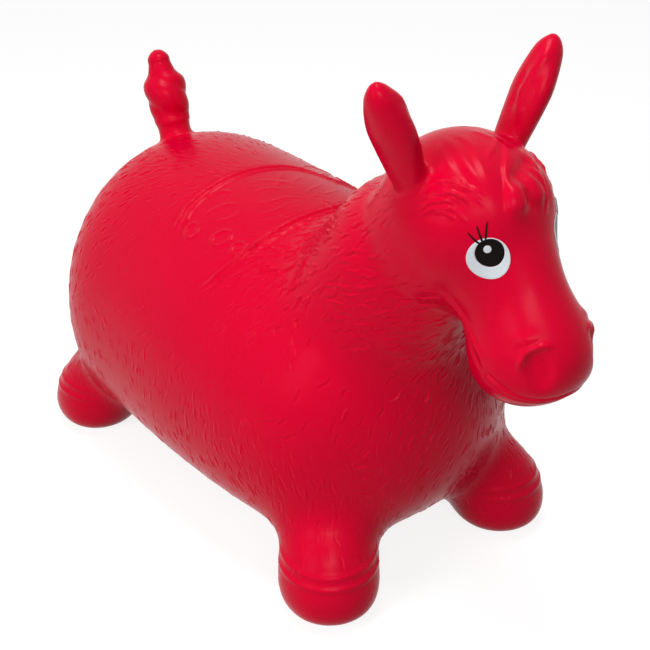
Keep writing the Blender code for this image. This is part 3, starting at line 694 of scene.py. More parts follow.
@dataclass(frozen=True)
class Coat:
    """Short wavy ridges of moulded hair, combed along guides that lie on the skin.

    Each guide holds its place in millimetres, the way of the hair, how much of the skin there is
    covered, and how bold its strokes are. Guides further to the right than mirrored_beyond count
    for the left side too. Each bare patch holds its middle and its radius in millimetres. A spread
    is the least and the greatest factor that chance gives, and the shares by boldness are what
    every stroke has and what its boldness adds. Chance picks each stroke's direction, up or down
    through the skin, from up_or_down, so that two in three are sunken.
    """

    guides: tuple
    bare: tuple
    mirrored_beyond: float = -40
    influence: float = 26 * MM
    far_weight: float = 1e-9
    cover_fades: tuple = (1.5, 3)
    bare_edge: float = 10 * MM
    thinnest_cover: float = 0.02
    grid: float = 4 * MM
    cells_across: int = 4096
    along: float = 14 * MM
    across: float = 3.7 * MM
    room_by_boldness: tuple = (0.75, 0.35)
    sway: float = 0.16
    lengths: tuple = (10 * MM, 19 * MM)
    length_by_boldness: tuple = (0.3, 0.7)
    half_width: float = 0.90 * MM
    width_spread: tuple = (0.8, 1.15)
    width_by_boldness: tuple = (0.85, 0.2)
    height: float = 0.90 * MM
    height_spread: tuple = (0.5, 1.15)
    up_or_down: tuple = (1, -1, -1)
    bend: float = 0.13
    wave: float = 0.8 * MM
    wave_spread: tuple = (0.3, 1)
    wave_number: float = 4.2
    boldness_power: float = 1.5
    groove_depth: float = 0.6
    groove_place: float = 1.7
    skin_depth: float = 6 * MM
    seed: int = 11

    @staticmethod
    def by_boldness(shares: tuple[float, float], bold: np.ndarray) -> np.ndarray:
        """What every stroke has, and what its boldness adds."""
        return shares[0] + shares[1] * bold

    def combed(self, places: np.ndarray, normals: np.ndarray) -> tuple[np.ndarray, np.ndarray, np.ndarray]:
        """The hair's way, cover and boldness at places: means of the guides, weighted by nearness.

        A guide's weight is exp(-(distance / influence)^2), plus a trace that keeps it above zero.
        The cover fades out away from every guide and towards each bare patch.
        """
        guides = np.array(self.guides, float)
        other = guides[guides[:, 0] < self.mirrored_beyond] * (-1, 1, 1, -1, 1, 1, 1, 1)
        guides = np.vstack([guides, other])
        apart = np.linalg.norm(places[:, None] - guides[None, :, :3] * MM, axis=2)
        weight = bell(apart / self.influence) + self.far_weight / (1 + apart) ** 4
        weight /= weight.sum(1, keepdims=True)
        way = weight @ unit(guides[:, 3:6])
        way = unit(way - np.einsum("ij,ij->i", way, normals)[:, None] * normals)
        near, far = (times * self.influence for times in self.cover_fades)
        cover = weight @ guides[:, 6] * (1 - smoothstep(near, far, apart.min(1)))
        for x, y, z, radius in self.bare:
            for middle in both_sides(np.array([(x, y, z)]) * MM):
                out = np.linalg.norm(places - middle, axis=1) - radius * MM
                cover = cover * smoothstep(0, self.bare_edge, out)
        return way, cover, weight @ guides[:, 7]

    def spaced(self, places: np.ndarray, way: np.ndarray, side: np.ndarray, bold: np.ndarray,
               order: np.ndarray) -> np.ndarray:
        """Choose places one by one, leaving out those that lie too near a chosen one.

        A place is too near where (u / along)^4 + (v / across)^4 < 1, with u and v measured along and
        across the chosen one's hair. Both lengths grow with its boldness.
        """
        room = self.by_boldness(self.room_by_boldness, bold)
        near, chosen = neighbours(places, places, self.along * room.max())
        offset = places[near] - places[chosen]
        u = np.einsum("ij,ij->i", offset, way[chosen]) / (self.along * room[chosen])
        v = np.einsum("ij,ij->i", offset, side[chosen]) / (self.across * room[chosen])
        close = (u**4 + v**4 < 1) & (near != chosen)
        near, chosen = near[close], chosen[close]
        by_chosen = np.argsort(chosen, kind="stable")
        near = near[by_chosen]
        starts = np.searchsorted(chosen[by_chosen], np.arange(len(places) + 1))
        free, kept = np.ones(len(places), bool), []
        for index in order.tolist():
            if free[index]:
                kept.append(index)
                free[near[starts[index]:starts[index + 1]]] = False
        return np.array(kept)

    def grow(self, relief: Relief) -> None:
        """Add every stroke to a relief.

        Places are one point from each cell of a grid, thinned until no two strokes overlap. Across a
        stroke the height is exp(-v^2) - d exp(-(v - p)^2), a ridge with a groove of depth d at place p
        beside it, or the other way up. Here v is the distance in half widths from a line bent and
        waved by c u^2 + w sin(k u + phase), and u runs from -1 to 1 along the stroke, which fades as
        (1 - u^4)^1.5. Only points near the stroke's own level take part.
        """
        dice = np.random.default_rng(self.seed)
        shuffled = dice.permutation(len(relief.points))
        cells = np.floor(relief.points[shuffled] / self.grid).astype(np.int64)
        keys = (cells[:, 0] * self.cells_across + cells[:, 1]) * self.cells_across + cells[:, 2]
        roots = shuffled[np.unique(keys, return_index=True)[1]]
        way, cover, bold = self.combed(relief.points[roots], relief.normals[roots])
        hairy = cover > self.thinnest_cover
        roots, way, cover, bold = roots[hairy], way[hairy], cover[hairy], bold[hairy]
        kept = self.spaced(relief.points[roots], way, np.cross(relief.normals[roots], way), bold,
                           dice.permutation(len(roots)))
        kept = kept[dice.random(len(kept)) < cover[kept]]
        roots, way, bold = roots[kept], way[kept], bold[kept]
        count = len(roots)
        normal, centre = relief.normals[roots], relief.points[roots]
        turn = dice.normal(0, self.sway, count)[:, None]
        way = way * np.cos(turn) + np.cross(normal, way) * np.sin(turn)
        side = np.cross(normal, way)
        half = dice.uniform(*self.lengths, count) / 2 * self.by_boldness(self.length_by_boldness, bold)
        thick = (self.half_width * dice.uniform(*self.width_spread, count)
                 * self.by_boldness(self.width_by_boldness, bold))
        tall = (self.height * dice.uniform(*self.height_spread, count) * bold**self.boldness_power
                * dice.choice(self.up_or_down, count))
        bend = dice.normal(0, self.bend, count) * half
        wave = self.wave * dice.uniform(*self.wave_spread, count) * bold**self.boldness_power
        phase = dice.uniform(0, 2 * pi, count)
        which, near = neighbours(relief.points, centre, (half + BELL_REACH * thick).max())
        offset = relief.points[which] - centre[near]
        u = np.einsum("ij,ij->i", offset, way[near]) / half[near]
        v = np.einsum("ij,ij->i", offset, side[near])
        through = np.abs(np.einsum("ij,ij->i", offset, normal[near]))
        line = bend[near] * u**2 + wave[near] * np.sin(self.wave_number * u + phase[near])
        v = (v - line) / thick[near]
        fade = np.clip(1 - u**4, 0, 1) ** 1.5 * (through < self.skin_depth)
        added = tall[near] * fade * (bell(v) - self.groove_depth * bell(v - self.groove_place))
        relief.height += np.bincount(which, added, len(relief.points))
        log.info("coat: %d strokes", count)


COAT = Coat(bare=(
    (0, 232, 345, 48), (-68, -172, 440, 46), (-102, -140, 22, 42), (-102, 250, 22, 48), (-36, -238, 353, 30),
), guides=(
    # Rump
    (-109, 198, 252, .45, -.57, .69, .75, .8), (-87, 185, 276, .52, -.70, .49, .95, 1.),
    (-68, 171, 291, .56, -.76, .32, .95, 1.), (-42, 167, 302, .54, -.82, .19, .9, .9),
    (-33, 130, 305, .45, -.89, .05, .7, .8), (-10, 147, 309, .29, -.96, .04, .5, .7),
    (-67, 122, 292, .72, -.62, .30, .6, .7), (-20, 200, 290, .54, -.75, .40, .8, .8),
    (-60, 215, 265, .50, -.60, .60, .8, .8), (-118, 204, 237, .45, -.37, .81, .6, .8),
    (-130, 196, 217, .44, .13, .89, .5, .8), (-90, 238, 200, .30, .05, .95, .6, .8),
    (-30, 262, 190, .10, .05, .99, .6, .8), (0, 240, 245, .10, -.60, .79, .7, .8),
    # Saddle blanket
    (-23, 66, 304, .88, -.46, .08, .25, .5), (3, 56, 305, .69, -.71, -.11, .3, .5),
    (-27, 37, 301, .85, -.51, .09, .25, .5), (-56, 66, 294, .67, -.71, .22, .1, .4),
    (-80, 50, 280, .67, -.71, .22, 0, .4), (-60, 25, 290, .80, -.55, .22, .1, .4),
    # Withers, between the blanket and the neck
    (-79, -19, 272, .67, -.60, .44, 1., 1.5), (-60, -20, 284, .71, -.57, .42, 1., 1.6),
    (-52, -43, 295, .50, -.80, .30, 1., 1.5), (-57, -76, 321, -.10, -.91, .36, .9, 1.2),
    (-67, -56, 289, .20, -.86, .50, .9, 1.4), (-90, -27, 263, .76, -.30, .58, .9, 1.4),
    (-84, -48, 267, .55, -.45, .70, .9, 1.4), (-97, -50, 254, .67, -.14, .72, .8, 1.4),
    (-94, -64, 255, .56, -.18, .81, .7, 1.3), (-93, -88, 253, .34, .23, .91, .35, 1.2),
    (-107, -82, 232, .45, .41, .80, .25, 1.3), (-110, -21, 244, .67, -.17, .72, .5, 1.2),
    (-86, -124, 236, .59, -.54, .59, .2, 1.), (-83, -134, 219, .70, -.32, .64, .15, 1.),
    (-82, -16, 270, .61, -.72, .32, 1., 1.5), (-58, -24, 285, .83, -.32, .46, 1., 1.5),
    (-86, -34, 265, .64, -.55, .54, 1., 1.5), (-85, -51, 266, .61, -.34, .71, 1., 1.5),
    (-96, -50, 254, .69, -.04, .72, .9, 1.4), (-93, -61, 257, .60, -.06, .80, .9, 1.4),
    (-91, -72, 260, .49, -.33, .81, .7, 1.4), (-71, -70, 294, -.09, -.87, .48, 1., 1.3),
    (-62, -57, 297, -.20, -.87, .46, 1., 1.4), (-68, -94, 317, .09, -.74, .67, .8, 1.1),
    (-74, -54, 281, .11, -.84, .53, 1., 1.4), (-71, -36, 278, .71, -.41, .57, 1., 1.5),
    (-20, -30, 296, .72, -.60, .20, .9, 1.1), (0, -60, 305, .40, -.85, .35, .9, 1.),
    # Flanks left bare
    (-128, 152, 228, .6, -.5, .6, 0, .6), (-126, 86, 234, .6, -.5, .6, 0, .6),
    (-126, 9, 227, .6, -.3, .7, .02, .6), (-128, -65, 203, .3, -.2, .9, .05, .8),
    (-114, 136, 251, .6, -.5, .6, .05, .6), (-106, 81, 259, .6, -.5, .6, 0, .6),
    (-112, -31, 240, .6, -.3, .7, .3, 1.), (-92, -139, 187, .4, -.2, .9, .1, .8),
    (-142, 60, 200, .1, -.2, .98, .0, .6), (-143, -10, 195, .1, -.2, .98, .02, .6),
    (-140, 110, 200, .1, -.2, .98, .03, .6), (-136, -45, 186, .1, -.2, .98, .06, .6),
    (-122, -88, 196, .3, -.1, .95, .08, .9), (-132, 150, 208, .2, -.2, .95, .06, .6),
    (-106, -118, 172, .2, -.1, .95, .12, .9), (-118, 180, 238, .4, -.5, .7, .45, .7),
    (-100, 160, 265, .5, -.6, .6, .5, .8), (-100, 110, 262, .6, -.5, .5, .05, .6),
    (-95, -5, 262, .67, -.5, .5, .1, .8), (-120, 40, 236, .6, -.4, .6, 0, .6),
    # Neck and throat
    (-68, -148, 303, .43, -.85, .29, 1., 1.25), (-68, -149, 295, .47, -.87, .14, 1., 1.25),
    (-67, -151, 282, .49, -.83, .26, 1., 1.25), (-60, -157, 273, .68, -.66, -.33, 1., 1.2),
    (-67, -144, 317, .45, -.83, .34, 0.84, 1.25), (-63, -157, 304, .54, -.78, .31, 0.96, 1.25),
    (-61, -160, 287, .67, -.72, .16, 1, 1.25), (-45, -177, 293, .78, -.60, .17, 0.96, 1.25),
    (-66, -149, 266, .59, -.76, .29, 0.96, 1.25), (-53, -164, 267, .79, -.61, .07, 0.96, 1.25),
    (-50, -125, 352, -.12, -.62, .78, 0.6, 0.875), (-52, -141, 378, -.40, -.69, .60, 0.6, 0.875),
    (0, -100, 360, -.10, -.70, .70, 0.72, 1), (-9, -166, 220, .69, -.18, .70, 1, 1.12),
    # Chest
    (-2, -173, 177, .71, .15, .69, 1, 0.845), (18, -169, 187, .58, .25, .78, 1, 0.845),
    (-24, -173, 156, .63, -.01, .78, 1, 0.845), (-42, -170, 132, .51, -.18, .84, 0.95, 0.943),
    (-2, -176, 138, .72, 0, .69, 0.95, 0.845), (-24, -164, 89, .09, -.35, .93, 0.53, 0.754),
    (-59, -159, 92, -.02, -.17, .98, 0.63, 0.845), (40, -170, 127, .64, .17, .75, 0.84, 0.845),
    (-67, -160, 148, .3, -.1, .95, 0.63, 0.845),
    # Lower flanks
    (-148, 5, 151, -.03, .15, -.99, 0.84, 0.845), (-146, -23, 150, 0, -.16, -.99, 0.84, 0.845),
    (-143, -49, 152, .02, -.31, -.95, 0.84, 0.845), (-139, -77, 145, .05, -.27, -.96, 0.84, 0.845),
    (-131, -102, 135, .13, -.28, -.95, 0.84, 0.845), (-120, -121, 120, .14, -.12, -.98, 0.84, 0.845),
    (-102, -139, 112, .10, -.21, -.97, 0.84, 0.845), (-92, -146, 142, -.05, .03, -1, 0.73, 0.845),
    (-132, -97, 162, -.03, -.26, -.96, 0.63, 0.845), (-149, 59, 162, -.08, 0, -1, 0.84, 0.845),
    (-146, 112, 178, -.14, -.23, -.96, 0.63, 0.845), (-140, 163, 196, -.22, -.37, -.90, 0.53, 0.754),
    (-140, 60, 90, .1, -.1, -.98, 0.53, 0.754), (-140, 0, 90, .1, -.1, -.98, 0.53, 0.754),
    (-110, 30, 45, .7, 0, -.7, 0.21, 0.66), (-110, 80, 45, .7, 0, -.7, 0.21, 0.66),
    (-50, 50, 30, 1, 0, 0, 0, .5), (-120, 200, 120, -.1, -.1, -.98, 0.53, 0.754),
    (-50, 255, 110, 0, .1, .99, 0.42, 0.754), (-113, -139, 86, -.2, -.2, -.95, 0.63, 0.754),
    (-128, -122, 74, -.1, -.1, -.98, 0.63, 0.754), (-84, -160, 74, .1, -.2, -.97, 0.63, 0.754),
    (-120, 225, 84, -.1, .1, -.98, 0.53, 0.754),
    # Head, bare
    (-55, -190, 370, .5, -.5, .5, 0, .5), (-60, -180, 340, .5, -.5, .5, 0, .5),
    (-45, -215, 320, .5, -.5, .5, 0, .5), (0, -200, 420, .5, -.5, .5, 0, .5),
    (0, -240, 380, .5, -.5, .5, 0, .5), (0, -280, 320, .5, -.5, .5, 0, .5),
    (-35, -260, 290, .5, -.5, .5, 0, .5), (0, -255, 240, .5, -.5, .5, 0, .5),
    (-30, -170, 415, .5, -.5, .5, 0, .5), (0, -150, 410, .5, -.5, .5, .2, .6),
))


# ---- The features of the relief --------------------------------------------------------------

# Lines and middles are in millimetres. Each is laid onto the skin before it is used.
BLANKET_REAR = ((-92, 93, 270), (-85, 95, 279), (-74, 100, 287), (-59, 100, 294), (-44, 99, 301),
                (-26, 97, 305), (-8, 94, 307), (12, 89, 306), (30, 83, 304), (43, 73, 299), (56, 56, 294),
                (72, 50, 287), (86, 48, 277))
BLANKET_FRONT = ((-112, 28, 243), (-110, 22, 250), (-97, 15, 263), (-81, 9, 275), (-61, 5, 286),
                 (-33, 1, 295), (-7, -2, 299), (12, -3, 298), (38, 1, 294), (61, 5, 286), (81, 9, 275),
                 (97, 15, 263), (110, 22, 250), (112, 28, 243))


def beside(line: tuple, shift: tuple) -> tuple:
    """The same line carried by a shift, to be laid on the skin again."""
    return tuple(tuple(np.add(point, shift).tolist()) for point in line)


@dataclass(frozen=True)
class Fan:
    """Fine folds between two lines: each a mean of both, with cuts and shifts by seeded chance.

    Each fold loses up to the share cut at either end, moves as a whole by shift and at each point by
    waver, both in millimetres, and has a height between the two factors times the fan's.
    """

    first: tuple
    last: tuple
    count: int
    height: float
    half_width: float
    seed: int
    cut: float = 0.42
    shift: float = 0.8
    waver: float = 0.45
    height_spread: tuple = (0.5, 1.4)
    fade: float = 0.2

    def folds(self) -> list[Fold]:
        """Every fold of the fan, from the first line to the last."""
        dice = np.random.default_rng(self.seed)
        first, last = np.array(self.first, float), np.array(self.last, float)
        keys = np.linspace(0, 1, len(first))
        folds = []
        for share in np.linspace(0, 1, self.count):
            near, far = np.array([0.0, 1.0]) + dice.uniform(0, self.cut, 2) * (1, -1)
            between = first * (1 - share) + last * share
            line = smooth_between(keys, between, np.linspace(near, far, len(keys)))
            line += dice.normal(0, self.shift, 3) + dice.normal(0, self.waver, line.shape)
            tall = self.height * dice.uniform(*self.height_spread)
            folds.append(Fold(tuple(map(tuple, line.tolist())), self.half_width, tall, self.fade))
        return folds


SADDLE_FOLDS = (
    Fold(BLANKET_REAR, 1.8 * MM, 1.7 * MM, 0.06, False),
    Fold(beside(BLANKET_REAR, (1, -7, 0)), 1.8 * MM, 1.4 * MM, 0.06, False),
    Fold(beside(BLANKET_REAR, (0, -3.5, 0)), 1.4 * MM, -1.2 * MM, 0.06, False),
    Fold(beside(BLANKET_REAR, (0, 3.4, 0)), 1.6 * MM, -0.5 * MM, 0.06, False),
    Fold(BLANKET_FRONT, 1.8 * MM, 1.8 * MM, 0.10, False),
    Fold(beside(BLANKET_FRONT, (0, -7, 0)), 1.8 * MM, 1.5 * MM, 0.10, False),
    Fold(beside(BLANKET_FRONT, (0, -3.5, 0)), 1.4 * MM, -1.4 * MM, 0.10, False),
    Fold(beside(BLANKET_FRONT, (0, 3.4, 0)), 1.6 * MM, -0.5 * MM, 0.14, False),
    Fold(((-86, 84, 279), (-75, 90, 286), (-64, 91, 293), (-53, 88, 297), (-43, 80, 300), (-45, 74, 299)),
         1.5 * MM, 0.9 * MM, 0.12),
    Fold(((-66, 67, 290), (-58, 69, 293), (-52, 64, 296), (-48, 57, 297)), 1.3 * MM, 0.7 * MM, 0.2),
    Fold(((-72, 60, 288), (-64, 50, 291), (-54, 47, 294), (-49, 51, 296)), 1.3 * MM, 0.6 * MM, 0.2),
    Fold(((-72, 74, 286), (-63, 72, 292), (-55, 63, 294)), 1.2 * MM, 0.5 * MM, 0.2),
    Fold(((-20, 75, 304), (-8, 68, 305), (3, 56, 305), (12, 52, 304)), 1.5 * MM, 0.35 * MM, 0.25),
    Fold(((-30, 60, 303), (-15, 55, 304), (-5, 44, 303)), 1.5 * MM, 0.35 * MM, 0.25),
    Fold(((-40, 45, 299), (-27, 37, 301), (-14, 33, 301), (-3, 24, 301)), 1.5 * MM, 0.35 * MM, 0.25),
    Fold(((-45, 30, 296), (-33, 24, 298), (-20, 22, 299)), 1.5 * MM, 0.35 * MM, 0.25),
)
SADDLE_OVALS = (
    Ring((-87, 73, 277), (6.5 * MM, 7.5 * MM), (0.3, -0.8, 0.5)),
    Ring((-79, 39, 280), (9.5 * MM, 7.5 * MM), (0.67, -0.6, 0.4)),
    Ring((-78, 16, 278), (6.5 * MM, 6.5 * MM), (0.67, -0.6, 0.4)),
)

FOREHEAD_EDGE = ((10, -196, 422), (6, -206, 420), (0, -212, 416), (-9, -221, 413), (-14, -228, 406),
                 (-17, -232, 396), (-20, -237, 388), (-20, -242, 380))
FOREHEAD_FAR_EDGE = ((34, -190, 408), (31, -206, 410), (27, -220, 406), (23, -229, 399), (20, -235, 390),
                     (18, -240, 381))
TEMPLE_TOP = ((-56, -179, 389), (-52, -185, 397), (-44, -192, 404), (-39, -207, 405), (-37, -219, 404),
              (-30, -229, 391), (-25, -235, 386))
TEMPLE_LOW = ((-62, -187, 372), (-60, -192, 377), (-57, -198, 382), (-53, -205, 385), (-50, -211, 384),
              (-47, -218, 381), (-43, -223, 378))
CROWN_RIGHT = ((-15, -160, 419), (-22, -178, 423), (-27, -194, 421), (-32, -213, 414), (-29, -228, 398))
CROWN_MIDDLE = ((-9, -165, 422), (-13, -189, 425), (-21, -207, 420), (-26, -223, 411), (-23, -230, 397))

HEAD_FOLDS = (
    Fold(CROWN_RIGHT, 4.0 * MM, 0.8 * MM, 0.3, False),
    Fold(beside(CROWN_RIGHT, (-7, 1, 0)), 3.2 * MM, -0.4 * MM, 0.3, False),
    Fold(CROWN_MIDDLE, 3.6 * MM, 0.7 * MM, 0.3, False),
    Fold(beside(CROWN_MIDDLE, (-4, 0, 0)), 2.6 * MM, -0.4 * MM, 0.3, False),
    Fold(((3, -170, 421), (6, -184, 425), (9, -196, 422), (6, -208, 419)), 3.4 * MM, 0.8 * MM, 0.3, False),
    Fold(((12, -176, 419), (18, -190, 420), (19, -203, 417), (17, -216, 411)), 3.4 * MM, 0.7 * MM,
         0.3, False),
    Fold(((-21, -166, 418), (-26, -172, 418), (-33, -186, 415), (-40, -200, 409)), 3.2 * MM, 0.8 * MM,
         0.3, False),
    Fold(((24, -176, 414), (30, -190, 411), (34, -203, 407), (35, -216, 401)), 3.4 * MM, 0.7 * MM,
         0.3, False),
)
FORELOCK_FOLDS = (
    Fold(((22, -212, 413), (19, -219, 412), (9, -224, 411), (3, -226, 408), (-6, -229, 404),
          (-12, -231, 400)), 4.6 * MM, -2.2 * MM, 0.3, False),
    Fold(FOREHEAD_EDGE, 2.4 * MM, -0.9 * MM, 0.25, False),
    Fold(((12, -222, 408), (17, -226, 403), (19, -231, 397), (19, -235, 391), (17, -241, 382),
          (14, -246, 375)), 2.1 * MM, 1.9 * MM, 0.3, False),
    Fold(((-15, -210, 418), (-7, -206, 420), (5, -200, 422), (10, -192, 424)), 2.8 * MM, 1.0 * MM,
         0.3, False),
    Fold(((-2, -234, 398), (-1, -239, 392), (-3, -243, 384)), 2.4 * MM, -1.2 * MM, 0.3, False),
)
FORELOCK_LOBES = (
    Swelling((-10, -236, 391), (-0.2, -0.4, -0.9), 12.5 * MM, 8.5 * MM, 4.4 * MM, False, 1.5),
    Swelling((9, -235, 394), (0.1, -0.4, -0.9), 12 * MM, 7 * MM, 3.9 * MM, False, 1.5),
    Swelling((28, -228, 396), (0.1, -0.4, -0.9), 19 * MM, 9 * MM, 2.4 * MM, False, 1.2),
    Swelling((-28, -222, 406), (-0.1, -0.7, -0.7), 26 * MM, 11 * MM, 2.0 * MM, False),
)
FORELOCK_LAPS = (
    Lap(FOREHEAD_EDGE, 15 * MM, 2.2 * MM, 1.7 * MM, 1),
    Lap(FOREHEAD_FAR_EDGE, 13 * MM, 2.4 * MM, 1.3 * MM, -1),
)
TEMPLE_FAN = Fan(TEMPLE_TOP, TEMPLE_LOW, 17, 0.85 * MM, 1.0 * MM, 4)
NOSTRIL_RIM = ((-39, -279, 275), (-38, -278, 285), (-35, -278, 290), (-32, -280, 294), (-29, -283, 296),
               (-25, -286, 298), (-21, -289, 298), (-17, -292, 296))
UPPER_LIP = ((-46, -250, 270), (-45, -262, 265), (-42, -270, 261), (-36, -279, 257), (-26, -287, 255),
             (-17, -292, 255), (-7, -296, 256), (0, -297, 257))
LOWER_LIP = ((-45, -248, 266), (-45, -254, 262), (-44, -262, 258), (-41, -268, 255), (-31, -280, 252),
             (-24, -286, 250), (-12, -291, 249), (0, -293, 249))


def carried_over(line: tuple) -> tuple:
    """A line on the right side that ends in the middle, carried on to the left as its mirror image."""
    return line + tuple((-x, y, z) for x, y, z in line[-2::-1])


BETWEEN_LIPS = tuple(tuple(np.add(a, b) / 2) for a, b in zip(UPPER_LIP, LOWER_LIP))

FACE_FOLDS = (
    Fold(NOSTRIL_RIM, 2.7 * MM, 3.4 * MM, 0.3),
    Fold(carried_over(UPPER_LIP), 1.4 * MM, -1.5 * MM, 0.05, False),
    Fold(carried_over(LOWER_LIP), 1.4 * MM, -1.2 * MM, 0.05, False),
    Fold(carried_over(BETWEEN_LIPS), 1.8 * MM, 0.6 * MM, 0.05, False),
    Fold(((-44, -196, 322), (-39, -205, 307), (-38, -214, 297), (-40, -227, 288), (-43, -240, 281),
          (-46, -252, 275)), 3.0 * MM, 1.8 * MM, 0.25),
    Fold(((-36, -199, 304), (-34, -209, 294), (-36, -222, 284), (-40, -236, 275), (-44, -250, 268)),
         2.2 * MM, -2.0 * MM, 0.25),
    Fold(((-68, -152, 268), (-60, -157, 254), (-48, -161, 246), (-30, -166, 236), (-11, -169, 231),
          (0, -169, 229)), 6 * MM, 1.8 * MM, 0.3),
)
FACE_SWELLINGS = (
    Swelling((-29, -289, 282), (0, -0.3, -0.95), 17 * MM, 10 * MM, -4.4 * MM, True, 2.0),
    Swelling((-30, -275, 301), (0.5, -0.7, 0.4), 9 * MM, 6 * MM, 1.8 * MM),
)
EAR_FOLDS = (
    Fold(((80, -175, 475), (73, -179, 468), (67, -177, 459), (60, -174, 448), (56, -172, 439),
          (51, -176, 428), (47, -178, 415)), 4.5 * MM, 2.2 * MM, 0.2),
)
EAR_SWELLINGS = (
    Swelling((60, -167, 449), (0.44, 0, 0.9), 8 * MM, 3.5 * MM, -1.5 * MM),
    Swelling((54, -167, 434), (0.44, 0, 0.9), 7 * MM, 3.5 * MM, -1.5 * MM),
)


# ---- The skin --------------------------------------------------------------------------------


@dataclass(frozen=True)
class Zone:
    """A stretch of skin that goes with a moving body.

    It holds the faces past the border, measured from the anchor along the way, and within reach. Its start
    and end, places along the same way, are not used.
    """

    name: str
    body: Body
    anchor: np.ndarray
    way: np.ndarray
    border: float
    start: float
    end: float
    reach: float


@dataclass
class Skin:
    """The one moulded skin, with its relief, parted for its moving zones and cut for the valve.

    A bend is the border, start, end and reach of a zone. The foot's way holds its shares outwards
    and down. A cut is a sloping plane across the horse: its place back, its height and its slope in
    degrees.
    """

    form: BareForm = field(default_factory=BareForm)
    leg_outward: tuple = (0.63, 0.78)

    band_heights: tuple = (47 * MM, 56 * MM)
    band_half_width: float = 2.3 * MM
    band_height: float = 1.1 * MM
    band_reach: float = 66 * MM
    band_fade: tuple = (-24 * MM, 4 * MM)

    plait_pitch: float = 36 * MM
    plait_height: float = 3.4 * MM
    plait_turn: float = 0.5
    plait_softness: float = 0.02
    plait_level: float = 0.62
    plait_rise: tuple = (26 * MM, 46 * MM)
    plait_fall: tuple = (68 * MM, 80 * MM)
    tail_reach: float = 34 * MM
    tail_start: float = 14 * MM
    tail_rings: tuple = ((31 * MM, 0.9 * MM), (88 * MM, -0.9 * MM))
    tail_ring_half_width: float = 3.5 * MM

    valve_place: tuple = (0.0, 74.98 * MM)
    valve_radius: float = 11.2 * MM
    belly_limit: float = 60 * MM

    foot_way: tuple = (0.574, 0.819)
    foot_bend: tuple = (-70 * MM, -68 * MM, -26 * MM, 125 * MM)
    ear_place: tuple = (47.5 * MM, -166.5 * MM, 390.18 * MM)
    ear_slope: float = 54
    ear_bend: tuple = (-2 * MM, -2 * MM, 22 * MM, 150 * MM)
    tail_place: tuple = (0, 226.15 * MM, 292.48 * MM)
    tail_way: tuple = (0, 0.317, 0.948)
    tail_bend: tuple = (2 * MM, 2 * MM, 22 * MM, 150 * MM)

    neck_cut: tuple = (-100 * MM, 250 * MM, 35.5)
    head_cut: tuple = (-150 * MM, 308 * MM, 52)
    shoulder_end: float = -20 * MM
    rump_start: float = 120 * MM

    points: np.ndarray | None = None
    quads: np.ndarray | None = None
    normals: np.ndarray | None = None

    def sole(self, side: int, end: int) -> np.ndarray:
        """The middle of a sole on the floor."""
        return np.array([side * self.form.sole_track / 2, end * self.form.sole_spacing / 2 + MOULD_SHIFT, 0])

    def outward(self, side: int, end: int) -> np.ndarray:
        """The level way that a leg leans, out from the middle and along to its end of the horse."""
        return np.array([self.leg_outward[0] * side, self.leg_outward[1] * end, 0])

    def add_bands(self, relief: Relief) -> None:
        """Raise the double band round each leg: exp(-((z - height) / half width)^2) on its outer side."""
        for side in RIGHT_THEN_LEFT:
            for end in FRONT_THEN_REAR:
                offset = relief.points - self.sole(side, end)
                out = offset @ unit(self.outward(side, end))
                near = np.linalg.norm(offset[:, :2], axis=1) < self.band_reach
                near = near * smoothstep(*self.band_fade, out)
                for height in self.band_heights:
                    apart = (offset[:, 2] - height) / self.band_half_width
                    relief.height += self.band_height * near * bell(apart)

    def add_plait(self, relief: Relief) -> None:
        """Twist two strands round the tail, and close them with a raised ring below and a groove above.

        The strands are height * (sqrt(cos(a + pi t / pitch + turn)^2 + softness) - level), where t runs
        up the tail and a is the way round it, so that the creases climb to the left.
        """
        way = self.form.tail_way()
        offset = relief.points - (np.array(self.form.tail_root) + (0, MOULD_SHIFT, 0))
        up = offset @ way
        aside = offset - up[:, None] * way
        on_tail = (np.linalg.norm(aside, axis=1) < self.tail_reach) & (up > self.tail_start)
        twist = np.arctan2(aside[:, 1], aside[:, 0]) + pi * up / self.plait_pitch + self.plait_turn
        strand = np.sqrt(np.cos(twist) ** 2 + self.plait_softness) - self.plait_level
        fade = smoothstep(*self.plait_rise, up) * (1 - smoothstep(*self.plait_fall, up))
        relief.height += self.plait_height * strand * fade * on_tail
        for height, rise in self.tail_rings:
            relief.height += rise * bell((up - height) / self.tail_ring_half_width) * on_tail

    def mould(self) -> None:
        """Build the bare form, raise every feature out of it and keep the finished surface."""
        relief = Relief(self.form.outside())
        log.info("relief: bare surface ready")
        COAT.grow(relief)
        self.add_bands(relief)
        self.add_plait(relief)
        folds = SADDLE_FOLDS + HEAD_FOLDS + FORELOCK_FOLDS + FACE_FOLDS + EAR_FOLDS + (*TEMPLE_FAN.folds(),)
        for fold in folds:
            relief.fold(fold)
        for oval in SADDLE_OVALS:
            relief.ring(oval)
        for swelling in FORELOCK_LOBES + FACE_SWELLINGS + EAR_SWELLINGS:
            relief.swelling(swelling)
        for lap in FORELOCK_LAPS:
            relief.lap(lap)
        self.points, self.quads = relief.raised(), relief.quads
        self.points[:, 2] = np.maximum(self.points[:, 2], 0)
        self.normals = point_normals(self.points, self.quads)
        self.cut_valve_hole()
        log.info("skin: %d triangles", 2 * len(self.quads))

    def cut_valve_hole(self) -> None:
        """Take out the faces over the valve, and draw the points of their border onto its circle."""
        middles = self.points[self.quads].mean(1)
        out = middles[:, :2] - self.valve_place
        inside = (np.linalg.norm(out, axis=1) < self.valve_radius) & (middles[:, 2] < self.belly_limit)
        border = np.intersect1d(self.quads[inside], self.quads[~inside])
        aside = self.points[border, :2] - self.valve_place
        self.points[border, :2] = self.valve_place + unit(aside) * self.valve_radius
        self.quads = self.quads[~inside]

